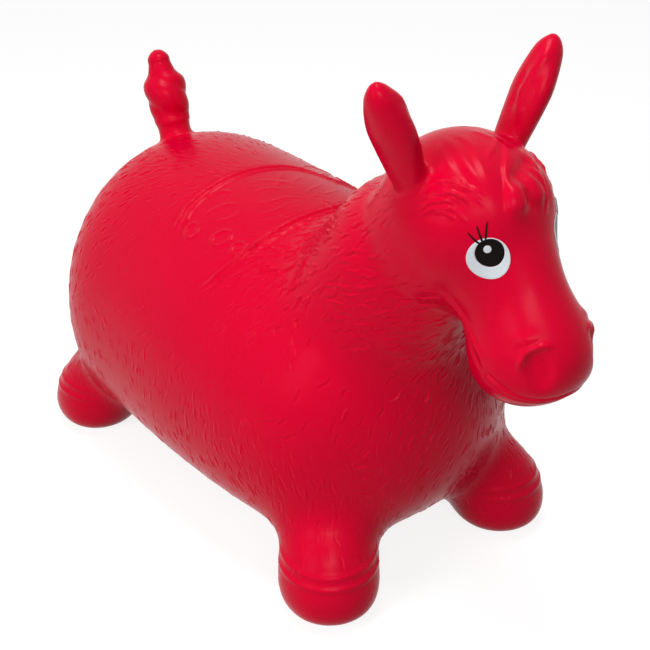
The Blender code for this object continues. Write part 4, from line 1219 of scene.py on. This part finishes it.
    def zones(self) -> list[Zone]:
        """The moving zones, with the place each bends about and the way it lies from there."""
        zones = []
        sides = (("left", 1), ("right", -1))
        outwards, downwards = self.foot_way
        for end_name, end in (("front", -1), ("rear", 1)):
            for side_name, side in sides:
                name = f"{end_name}_{side_name}"
                way = outwards * self.outward(side, end) - np.array([0, 0, downwards])
                zones.append(Zone(f"leg_skin_{name}", Body(f"foot_{name}"), self.sole(side, end), way,
                                  *self.foot_bend))
        slope = radians(self.ear_slope)
        for side_name, side in sides:
            zones.append(Zone(f"ear_skin_{side_name}", Body(f"ear_{side_name}"),
                              np.array(self.ear_place) * (side, 1, 1),
                              np.array([side * sin(slope), 0, cos(slope)]), *self.ear_bend))
        zones.append(Zone("tail_skin", Body.TAIL, np.array(self.tail_place), np.array(self.tail_way),
                          *self.tail_bend))
        return zones

    def regions(self, middles: np.ndarray) -> dict[str, np.ndarray]:
        """Which faces, given by their middles, belong to each piece that stays still.

        A place lies past a cut where (z - height) cos s - (y - place) sin s > 0, with slope s.
        """
        x, y, z = middles.T
        past_neck, past_head = (
            -(y - place) * sin(radians(slope)) + (z - height) * cos(radians(slope)) > 0
            for place, height, slope in (self.neck_cut, self.head_cut))
        front, rear = y < self.shoulder_end, y > self.rump_start
        regions = {"head_skin": past_head, "neck_skin": past_neck & ~past_head}
        for name, stretch in (("shoulder", front), ("barrel", ~front & ~rear), ("rump", rear)):
            regions[name + "_skin_right"] = ~past_neck & stretch & (x < 0)
            regions[name + "_skin_left"] = ~past_neck & stretch & (x >= 0)
        return regions

    def part(self, name: str, quads: np.ndarray, finish: bpy.types.Material) -> bpy.types.Object:
        """One piece of the skin, whose shading takes its normals from the whole.

        Args:
            name: Name of the piece.
            quads: Its faces, as corners in the whole surface.
            finish: Its material.

        Returns:
            The new object, whose origin is the scene's.
        """
        used, corners = np.unique(quads, return_inverse=True)
        mesh = bpy.data.meshes.new(name)
        mesh.vertices.add(len(used))
        mesh.vertices.foreach_set("co", self.points[used].astype(np.float32).ravel())
        mesh.loops.add(corners.size)
        mesh.loops.foreach_set("vertex_index", corners.astype(np.int32).ravel())
        mesh.polygons.add(len(quads))
        mesh.polygons.foreach_set("loop_start", np.arange(0, corners.size, 4, dtype=np.int32))
        mesh.update(calc_edges=True)
        mesh.validate()
        mesh.shade_smooth()
        mesh.normals_split_custom_set_from_vertices(self.normals[used].astype(np.float32).tolist())
        mesh.materials.append(finish)
        body = linked(name, mesh)
        log.info("%s: %d triangles", name, 2 * len(quads))
        return body

    def build(self, finish: bpy.types.Material) -> list[bpy.types.Object]:
        """Make every piece of the skin, and let the pieces that stay still ride on the horse.

        The two sides of the shoulders, barrel and rump together stand for the one trunk node.
        """
        self.mould()
        middles = self.points[self.quads].mean(1)
        free = np.ones(len(self.quads), bool)
        made = []
        for zone in self.zones():
            offset = middles - zone.anchor
            inside = free & (offset @ zone.way > zone.border)
            inside &= np.linalg.norm(offset, axis=1) < zone.reach
            free &= ~inside
            body = self.part(zone.name, self.quads[inside], finish)
            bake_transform(body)
            made.append(body)
        for name, inside in self.regions(middles).items():
            body = self.part(name, self.quads[free & inside], finish)
            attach(body, Body.HORSE.value)
            made.append(body)
        stands_for = {"head_skin": ["head"], "neck_skin": ["neck"], "tail_skin": ["tail"],
                      "barrel_skin_right": ["trunk"]}
        for body in made:
            if body.name.startswith("leg_skin_"):
                place = body.name.removeprefix("leg_skin_")
                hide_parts("leg_" + place, "foot_" + place)
            elif body.name.startswith("ear_skin_"):
                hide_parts("ear_" + body.name.removeprefix("ear_skin_"))
            elif body.name in stands_for:
                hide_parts(*stands_for[body.name])
        return made


# ---- The eyes --------------------------------------------------------------------------------


@dataclass
class Eye:
    """One printed eye: a white round a pupil round a highlight, and three lashes above.

    It looks outward and up by two angles in degrees. Places on it are measured forwards and up from
    its middle, and each lash runs from its root to its tip, in millimetres.
    """

    side: int
    outward: float = 33
    rise: float = -2
    middle: tuple = (2.9 * MM, -2.2 * MM)
    white_radius: float = 15.7 * MM
    pupil_radius: float = 10.5 * MM
    pupil_place: tuple = (0.8 * MM, 4.4 * MM)
    light_radius: float = 2.9 * MM
    light_place: tuple = (-1.0 * MM, 7.2 * MM)
    gap: float = 0.12 * MM
    lift: float = 0.06 * MM
    thickness: float = 0.5 * MM
    edge_power: int = 12
    rows: int = 16
    columns: int = 96
    disc_rows: int = 14
    disc_columns: int = 64

    lashes: tuple = (((-2.6, 14.0), (-1.4, 27.4)), ((-4.6, 12.6), (-8.8, 24.0)),
                     ((-6.4, 11.0), (-15.2, 18.8)))
    lash_half_width: float = 0.85 * MM
    lash_half_height: float = 0.28 * MM
    lash_lift: float = 0.12 * MM
    lash_taper: float = 0.5
    lash_bend: float = 1.4 * MM
    lash_run: tuple = (0.02, 0.98)
    lash_rows: int = 26
    lash_columns: int = 12

    powers: int = 6
    patch_radius: float = 34 * MM
    patch_depths: tuple = (30 * MM, 120 * MM)
    least_facing: float = 0.15
    slope_step: float = 0.2 * MM

    def __post_init__(self) -> None:
        """Set up the eye's own axes: forwards, up, and out of the head."""
        turn, rise = radians(self.outward), radians(self.rise)
        self.way = np.array([self.side * sin(turn) * cos(rise), -cos(turn) * cos(rise), sin(rise)])
        self.forward = unit(np.cross([0, 0, 1], self.way)) * -self.side
        self.up = np.cross(self.way, self.forward) * -self.side
        self.centre = np.array(SKULL_CENTRE) + (0, MOULD_SHIFT, 0)

    def terms(self, u: np.ndarray, v: np.ndarray) -> np.ndarray:
        """Every product of powers of u and v up to the highest power, one column for each."""
        u, v = u / self.patch_radius, v / self.patch_radius
        return np.stack([u**i * v**j for i in range(self.powers + 1)
                         for j in range(self.powers + 1 - i)], -1)

    def fit(self, skin: Skin) -> None:
        """Fit the head's depth below the eye as a sum of powers, by least squares."""
        offset = skin.points - self.centre
        u, v = offset @ self.forward - self.middle[0], offset @ self.up - self.middle[1]
        depth = offset @ self.way
        nearest, furthest = self.patch_depths
        near = (np.hypot(u, v) < self.patch_radius) & (depth > nearest) & (depth < furthest)
        near &= skin.normals @ self.way > self.least_facing
        self.weights = np.linalg.lstsq(self.terms(u[near], v[near]), depth[near], rcond=None)[0]
        error = np.abs(self.terms(u[near], v[near]) @ self.weights - depth[near])
        log.info("eye %d: fitted to %d points, within %.2f mm", self.side, near.sum(), 1000 * error.max())

    def on_skin(self, u: np.ndarray, v: np.ndarray, height: np.ndarray) -> np.ndarray:
        """Places at a height above the fitted skin, measured square to it."""
        step = self.slope_step
        depth = self.terms(u, v) @ self.weights
        slope_u = (self.terms(u + step, v) @ self.weights - depth) / step
        slope_v = (self.terms(u, v + step) @ self.weights - depth) / step
        normal = unit(self.way - slope_u[..., None] * self.forward - slope_v[..., None] * self.up)
        base = (self.centre + (u + self.middle[0])[..., None] * self.forward
                + (v + self.middle[1])[..., None] * self.up + depth[..., None] * self.way)
        return base + height[..., None] * normal

    def section(self) -> tuple[np.ndarray, np.ndarray]:
        """Round a print's section: share s from its inner to its outer edge, and height.

        The height of the top falls off towards both edges as sqrt(1 - (2s - 1)^12).
        """
        across = (1 - np.cos(np.linspace(0, pi, self.rows))) / 2
        top = self.lift + (self.thickness - self.lift) * (1 - (2 * across - 1) ** self.edge_power) ** 0.5
        share = np.concatenate([across, across[-2:0:-1]])
        return share, np.concatenate([top, np.full(self.rows - 2, self.lift)])

    def annulus(self, hole: tuple[tuple[float, float], float],
                rim: tuple[tuple[float, float], float]) -> Surface:
        """A print between two circles, given as middle and radius: their mean by share, closed round."""
        share, height = self.section()
        turn = circle(self.columns)[None]
        share, height = share[:, None], np.repeat(height[:, None], self.columns, axis=1)
        radius = hole[1] + (rim[1] - hole[1]) * share
        u = hole[0][0] + (rim[0][0] - hole[0][0]) * share + radius * np.cos(turn)
        v = hole[0][1] + (rim[0][1] - hole[0][1]) * share + radius * np.sin(turn)
        points = self.on_skin(u, v, height)
        closed = np.concatenate([points, points[:1]])
        faces = [tuple(int(corner) % points[..., 0].size for corner in face)
                 for face in ring_faces(len(closed), self.columns)]
        return Surface(points.reshape(-1, 3), faces)

    def disc(self, middle: tuple[float, float], radius: float) -> Surface:
        """A round print with a pole above and one below. Its top falls off as sqrt(1 - share^12)."""
        share = np.sin(np.linspace(0, pi / 2, self.disc_rows))[1:]
        top = self.lift + (self.thickness - self.lift) * np.sqrt(1 - share**self.edge_power)
        height = np.concatenate([top, np.full(len(share) - 1, self.lift)])[:, None]
        radii = radius * np.concatenate([share, share[-2::-1]])[:, None]
        turn = circle(self.disc_columns)[None]
        u, v = middle[0] + radii * np.cos(turn), middle[1] + radii * np.sin(turn)
        points = self.on_skin(u, v, height + 0 * turn).reshape(-1, 3)
        poles = self.on_skin(np.full(2, middle[0]), np.full(2, middle[1]),
                             np.array([self.thickness, self.lift]))
        return Surface(np.vstack([points, poles]), closed_faces(len(radii), self.disc_columns))

    def lash(self, root: tuple[float, float], tip: tuple[float, float]) -> Surface:
        """One lash: an oval section carried along a bent line, tapering to its tip."""
        t = np.linspace(*self.lash_run, self.lash_rows)[:, None]
        turn = circle(self.lash_columns)[None]
        root, tip = np.array(root) * MM, np.array(tip) * MM
        ahead = unit(tip - root)
        rounded = np.sqrt(1 - np.abs(2 * t - 1) ** self.edge_power)
        wide = self.lash_half_width * (1 - self.lash_taper * t) * rounded
        aside = self.lash_bend * (t - t**2) + wide * np.cos(turn)
        run = t * np.linalg.norm(tip - root) + 0 * turn
        u, v = root[0] + run * ahead[0] - aside * ahead[1], root[1] + run * ahead[1] + aside * ahead[0]
        height = (self.thickness + self.lash_lift
                  + self.lash_half_height * np.sin(turn) * (wide / self.lash_half_width))
        points = self.on_skin(u, v, height + 0 * u)
        ends = points[[0, -1]].mean(1)
        return Surface(np.vstack([points.reshape(-1, 3), ends]), closed_faces(len(t), self.lash_columns))

    def build(self, skin: Skin, white: bpy.types.Material, black: bpy.types.Material) -> None:
        """Print the eye on the finished skin."""
        self.fit(skin)
        name = "left" if self.side > 0 else "right"
        pupil, light = self.pupil_place, self.light_place
        white_hole, pupil_hole = self.pupil_radius + self.gap, self.light_radius + self.gap
        made = {
            "eye_white_" + name: (self.annulus((pupil, white_hole), ((0, 0), self.white_radius)),
                                  white, Slot.WHITE),
            "pupil_" + name: (self.annulus((light, pupil_hole), (pupil, self.pupil_radius)),
                              black, Slot.BLACK),
            "highlight_" + name: (self.disc(light, self.light_radius), white, Slot.WHITE),
        }
        for number, (root, tip) in enumerate(self.lashes, 1):
            made[f"lash_{name}_{number}"] = (self.lash(root, tip), black, Slot.BLACK)
        for node, (surface, finish, slot) in made.items():
            body = placed(node + "_print", surface, finish)
            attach(body, Body.HORSE.value)
            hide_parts(node)


def placed(name: str, surface: Surface, finish: bpy.types.Material) -> bpy.types.Object:
    """An object for a closed surface, its doubles merged and its faces turned outwards."""
    merge_distance = 0.002 * MM
    mesh = surface.mesh(name)
    work = bmesh.new()
    work.from_mesh(mesh)
    bmesh.ops.remove_doubles(work, verts=work.verts, dist=merge_distance)
    bmesh.ops.recalc_face_normals(work, faces=work.faces)
    work.to_mesh(mesh)
    work.free()
    mesh.materials.append(finish)
    body = linked(name, mesh)
    log.info("%s: %d faces", name, len(mesh.polygons))
    return body


# ---- The valve -------------------------------------------------------------------------------


@dataclass
class Valve:
    """The soft seat bonded into the belly, and the ribbed stopper pushed up into it."""

    seat_radius: float = 11 * MM
    neck_radius: float = 7.5 * MM
    flange: float = 2.4 * MM
    height: float = 11 * MM
    bore_radius: float = 4.3 * MM
    recess_radius: float = 8.3 * MM
    recess_depth: float = 1.4 * MM
    head_radius: float = 8 * MM
    head_thickness: float = 1.8 * MM
    length: float = 13 * MM
    shank_radius: float = 4.0 * MM
    rib_depth: float = 0.5 * MM
    tip_inset: float = 1 * MM
    ribs: int = 3
    plug_sink: float = 0.3 * MM
    dish: tuple = ((0.0, 0.5 * MM), (4.6 * MM, 0.4 * MM), (5.6 * MM, 0.0))
    rounding: float = 0.45 * MM
    corner_points: int = 6
    columns: int = 72

    def place(self) -> tuple[float, float, float]:
        """The middle of the seat's lower face, from the CAD node's box."""
        low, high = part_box("valve_seat")
        return ((low[0] + high[0]) / 2, (low[1] + high[1]) / 2, low[2])

    def rounded(self, outline: list[tuple[float, float]], closed: bool) -> np.ndarray:
        """An outline with each corner turned on a short quadratic curve.

        Around a corner the curve is (1 - t)^2 a + 2 t (1 - t) corner + t^2 b, where a and b lie one
        rounding, or a third of the edge if that is shorter, along its two edges.
        """
        corners = np.array(outline)
        before, after = np.roll(corners, 1, axis=0) - corners, np.roll(corners, -1, axis=0) - corners
        reach_before = np.minimum(self.rounding, np.linalg.norm(before, axis=1) / 3)[:, None]
        reach_after = np.minimum(self.rounding, np.linalg.norm(after, axis=1) / 3)[:, None]
        a, b = corners + unit(before) * reach_before, corners + unit(after) * reach_after
        if not closed:
            a[[0, -1]], b[[0, -1]] = corners[[0, -1]], corners[[0, -1]]
        t = np.linspace(0, 1, self.corner_points)[None, :, None]
        curves = (1 - t) ** 2 * a[:, None] + 2 * t * (1 - t) * corners[:, None] + t**2 * b[:, None]
        return curves.reshape(-1, 2)

    def seat(self) -> Surface:
        """The seat, a closed section turned round the valve's axis."""
        outline = [(self.bore_radius, self.height), (self.neck_radius, self.height),
                   (self.neck_radius, self.flange), (self.seat_radius, self.flange), (self.seat_radius, 0),
                   (self.recess_radius, 0), (self.recess_radius, self.recess_depth),
                   (self.bore_radius, self.recess_depth)]
        profile = self.rounded(outline, True)
        return turned_form(np.vstack([profile, profile[:1]]), self.place(), self.columns)

    def plug(self) -> Surface:
        """The stopper: a thumb disc with a dished face, a shank and three ribs."""
        top = self.recess_depth - self.plug_sink
        bottom = top - self.head_thickness
        outline = [(radius, bottom + depth) for radius, depth in self.dish]
        outline += [(self.head_radius, bottom), (self.head_radius, top)]
        core = self.shank_radius - self.rib_depth
        pitch = (self.length - top) / (self.ribs + 1)
        for rib in range(self.ribs):
            low = top + rib * pitch
            outline += [(core, low), (core, low + pitch / 2), (self.shank_radius, low + pitch / 2),
                        (core, low + pitch)]
        outline += [(self.shank_radius - self.tip_inset, self.length), (0.0, self.length)]
        return turned_form(self.rounded(outline, False), self.place(), self.columns)

    def build(self, red: bpy.types.Material, white: bpy.types.Material) -> None:
        """Make the seat and the stopper and let them ride."""
        seat = placed("valve_seat_ring", self.seat(), red)
        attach(seat, Body.HORSE.value)
        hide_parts("valve_seat")
        plug = placed("valve_stopper", self.plug(), white)
        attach(plug, Body.PLUG.value)
        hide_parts("valve_plug")


# ---- Finishes --------------------------------------------------------------------------------


def arithmetic(tree: bpy.types.NodeTree, kind: str, first: bpy.types.NodeSocket | float,
               second: bpy.types.NodeSocket | float) -> bpy.types.NodeSocket:
    """One arithmetic step between two sockets or numbers."""
    node = tree.nodes.new("ShaderNodeMath")
    node.operation = kind
    for socket, value in zip(node.inputs, (first, second)):
        if isinstance(value, (int, float)):
            socket.default_value = value
        else:
            tree.links.new(value, socket)
    return node.outputs[0]


@dataclass(frozen=True)
class Vinyl:
    """A satin soft vinyl or ink: its colour, how far that drifts, its gloss and its grain."""

    slot: Slot
    colour: tuple
    drift: float
    roughness: float
    gloss_drift: float
    grain_size: float
    grain_depth: float
    shine: float
    refraction: float = 1.5

    def material(self) -> bpy.types.Material:
        """The finish as a material, with the shared vinyl surface in front of its shader."""
        made = bpy.data.materials.new(self.slot.value + "_finish")
        made.use_nodes = True
        nodes, links = made.node_tree.nodes, made.node_tree.links
        shader = nodes["Principled BSDF"]
        surface = nodes.new("ShaderNodeGroup")
        surface.node_tree = vinyl_surface()
        for name, value in (("Colour", (*self.colour, 1)), ("Drift", self.drift),
                            ("Roughness", self.roughness), ("Gloss Drift", self.gloss_drift),
                            ("Grain Size", self.grain_size), ("Grain Depth", self.grain_depth)):
            surface.inputs[name].default_value = value
        place = nodes.new("ShaderNodeTexCoord")
        links.new(place.outputs["Object"], surface.inputs["Place"])
        links.new(surface.outputs["Colour"], shader.inputs["Base Color"])
        links.new(surface.outputs["Roughness"], shader.inputs["Roughness"])
        links.new(surface.outputs["Normal"], shader.inputs["Normal"])
        shader.inputs["IOR"].default_value = self.refraction
        shader.inputs["Specular IOR Level"].default_value = self.shine
        return made


def vinyl_surface() -> bpy.types.NodeTree:
    """The shared surface of moulded vinyl and ink, made once: cloudy colour, uneven gloss, fine grain.

    Colour is the given one times 1 + drift * (noise - 0.5), with a coarse noise. Roughness is the
    given one plus gloss drift * (noise - 0.5), with a finer noise. The grain is the finest noise,
    whose scale is 1 / grain size, through a bump.

    Returns:
        The node group.
    """
    if "vinyl_surface" in bpy.data.node_groups:
        return bpy.data.node_groups["vinyl_surface"]
    group = bpy.data.node_groups.new("vinyl_surface", "ShaderNodeTree")
    sockets = group.interface
    for direction, kinds in (
        ("INPUT", {"Place": "Vector", "Colour": "Color", "Drift": "Float", "Roughness": "Float",
                   "Gloss Drift": "Float", "Grain Size": "Float", "Grain Depth": "Float"}),
        ("OUTPUT", {"Colour": "Color", "Roughness": "Float", "Normal": "Vector"}),
    ):
        for name, kind in kinds.items():
            sockets.new_socket(name, in_out=direction, socket_type="NodeSocket" + kind)
    nodes, links = group.nodes, group.links
    given, result = nodes.new("NodeGroupInput"), nodes.new("NodeGroupOutput")

    def noise(detail: float, scale: float | bpy.types.NodeSocket) -> bpy.types.NodeSocket:
        """A noise over the given place, at a given scale."""
        node = nodes.new("ShaderNodeTexNoise")
        node.inputs["Detail"].default_value = detail
        links.new(given.outputs["Place"], node.inputs["Vector"])
        if isinstance(scale, (int, float)):
            node.inputs["Scale"].default_value = scale
        else:
            links.new(scale, node.inputs["Scale"])
        return node.outputs["Fac"]

    def drifted(value: bpy.types.NodeSocket, drift: str) -> bpy.types.NodeSocket:
        """A noise, moved to lie round zero, times one of the given drifts."""
        return arithmetic(group, "MULTIPLY", arithmetic(group, "SUBTRACT", value, 0.5), given.outputs[drift])

    tint = nodes.new("ShaderNodeVectorMath")
    tint.operation = "SCALE"
    cloud = drifted(noise(detail=3, scale=14), "Drift")
    links.new(given.outputs["Colour"], tint.inputs[0])
    links.new(arithmetic(group, "ADD", cloud, 1.0), tint.inputs["Scale"])
    links.new(tint.outputs[0], result.inputs["Colour"])

    gloss = drifted(noise(detail=4, scale=42), "Gloss Drift")
    links.new(arithmetic(group, "ADD", gloss, given.outputs["Roughness"]), result.inputs["Roughness"])

    bump = nodes.new("ShaderNodeBump")
    bump.inputs["Strength"].default_value = 1
    links.new(given.outputs["Grain Depth"], bump.inputs["Distance"])
    grain_scale = arithmetic(group, "DIVIDE", 1.0, given.outputs["Grain Size"])
    links.new(noise(detail=2, scale=grain_scale), bump.inputs["Height"])
    links.new(bump.outputs["Normal"], result.inputs["Normal"])
    return group


FINISHES = (
    Vinyl(Slot.SKIN, (0.71, 0.0, 0.029), drift=0.07, roughness=0.27, gloss_drift=0.08,
          grain_size=1.6 * MM, grain_depth=0.02 * MM, shine=0.08),
    Vinyl(Slot.SEAT, (0.52, 0.0, 0.02), drift=0.05, roughness=0.48, gloss_drift=0.06,
          grain_size=1.2 * MM, grain_depth=0.02 * MM, shine=0.2),
    Vinyl(Slot.PLUG, (0.82, 0.82, 0.80), drift=0.04, roughness=0.40, gloss_drift=0.06,
          grain_size=1.0 * MM, grain_depth=0.01 * MM, shine=0.4),
    Vinyl(Slot.WHITE, (0.74, 0.80, 0.84), drift=0.03, roughness=0.34, gloss_drift=0.05,
          grain_size=0.9 * MM, grain_depth=0.006 * MM, shine=0.3),
    Vinyl(Slot.BLACK, (0.006, 0.004, 0.004), drift=0.10, roughness=0.24, gloss_drift=0.05,
          grain_size=0.9 * MM, grain_depth=0.006 * MM, shine=0.06),
)


# ---- The studio ------------------------------------------------------------------------------


def seen_directly(tree: bpy.types.NodeTree) -> bpy.types.NodeSocket:
    """A value of 1 for camera, glossy and transmission rays, and 0 for the rays that light the scene."""
    ray = tree.nodes.new("ShaderNodeLightPath")
    total = ray.outputs["Is Camera Ray"]
    for other in ("Is Glossy Ray", "Is Transmission Ray"):
        total = arithmetic(tree, "MAXIMUM", total, ray.outputs[other])
    return total


@dataclass(frozen=True)
class Lamp:
    """A soft lamp: its name, place, two sizes and power, and whether it shows in reflections."""

    name: str
    place: tuple
    sizes: tuple
    power: float
    in_reflections: bool


@dataclass
class Studio:
    """A pale floor, soft lamps, a white surround and the camera at the photograph's angle.

    The camera's angles are in degrees, and the focal length is held as a share of the sensor's width.
    """

    azimuth: float = -38.87
    elevation: float = 29.26
    distance: float = 1.3174
    aim: tuple = (0.0503, 0.0562, 0.1404)
    focal_share: float = 1347 / 650
    sensor_width: float = 36
    clipping: tuple = (0.05, 100)
    ambient: float = 0.22
    floor_half_size: float = 40.0
    floor_colour: float = 0.30
    floor_glow: float = 0.84
    floor_roughness: float = 0.9
    lamps: tuple = (
        Lamp("key", (-0.95, -1.53, 1.39), (1.0, 0.4), 8.5, True),
        Lamp("left", (-1.90, -0.25, 0.95), (0.8, 0.8), 18, False),
        Lamp("above", (-0.15, -0.1, 2.3), (0.8, 0.8), 21, True),
    )
    lamp_target: tuple = (0, 0, 0.2)

    def camera(self) -> None:
        """Stand the camera back from its aim along its azimuth and elevation."""
        turn, rise = radians(self.azimuth), radians(self.elevation)
        back = Vector((sin(turn) * cos(rise), -cos(turn) * cos(rise), sin(rise)))
        lens = bpy.data.cameras.new("camera")
        lens.lens, lens.sensor_width = self.focal_share * self.sensor_width, self.sensor_width
        lens.clip_start, lens.clip_end = self.clipping
        view = linked("camera", lens)
        view.location = Vector(self.aim) + back * self.distance
        view.rotation_euler = (-back).to_track_quat("-Z", "Y").to_euler()
        bpy.context.scene.camera = view

    def lights(self) -> None:
        """Hang the soft lamps, each turned to the horse."""
        for lamp in self.lamps:
            light = bpy.data.lights.new(lamp.name, "AREA")
            light.shape = "RECTANGLE"
            light.size, light.size_y = lamp.sizes
            light.energy = lamp.power
            body = linked(lamp.name, light)
            body.visible_glossy = lamp.in_reflections
            body.location = lamp.place
            ahead = Vector(self.lamp_target) - Vector(lamp.place)
            body.rotation_euler = ahead.to_track_quat("-Z", "Y").to_euler()

    def world(self) -> None:
        """A world that is white to the camera and in reflections, and dimmer as a lamp."""
        world = bpy.data.worlds.new("surround")
        world.use_nodes = True
        tree = world.node_tree
        strength = tree.nodes.new("ShaderNodeMapRange")
        strength.inputs["To Min"].default_value = self.ambient
        strength.inputs["To Max"].default_value = 1.0
        tree.links.new(seen_directly(tree), strength.inputs["Value"])
        background = tree.nodes["Background"]
        background.inputs["Color"].default_value = (1, 1, 1, 1)
        tree.links.new(strength.outputs["Result"], background.inputs["Strength"])
        bpy.context.scene.world = world

    def floor(self) -> None:
        """A wide floor that shows white to the camera and in reflections, and keeps the shadow."""
        size = self.floor_half_size
        mesh = bpy.data.meshes.new("floor")
        mesh.from_pydata([(-size, -size, 0), (size, -size, 0), (size, size, 0), (-size, size, 0)], [],
                         [(0, 1, 2, 3)])
        finish = bpy.data.materials.new("floor")
        finish.use_nodes = True
        tree = finish.node_tree
        shader = tree.nodes["Principled BSDF"]
        shader.inputs["Base Color"].default_value = (*[self.floor_colour] * 3, 1)
        shader.inputs["Roughness"].default_value = self.floor_roughness
        shader.inputs["Specular IOR Level"].default_value = 0.0
        shader.inputs["Emission Color"].default_value = (1, 1, 1, 1)
        glow = arithmetic(tree, "MULTIPLY", seen_directly(tree), self.floor_glow)
        tree.links.new(glow, shader.inputs["Emission Strength"])
        mesh.materials.append(finish)
        body = linked("floor", mesh)

    def build(self) -> None:
        """Set the whole studio and the plain view transform."""
        self.camera()
        self.lights()
        self.world()
        self.floor()
        bpy.context.scene.view_settings.view_transform = "Standard"


def main() -> None:
    """Build the studio and the horse, and report each piece."""
    logging.basicConfig(level=logging.INFO, format="%(name)s: %(message)s")
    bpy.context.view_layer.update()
    Studio().build()
    finishes = {finish.slot: finish.material() for finish in FINISHES}
    skin = Skin()
    skin.build(finishes[Slot.SKIN])
    for side in RIGHT_THEN_LEFT:
        Eye(side).build(skin, finishes[Slot.WHITE], finishes[Slot.BLACK])
    Valve().build(finishes[Slot.SEAT], finishes[Slot.PLUG])


if __name__ == "__main__":
    main()
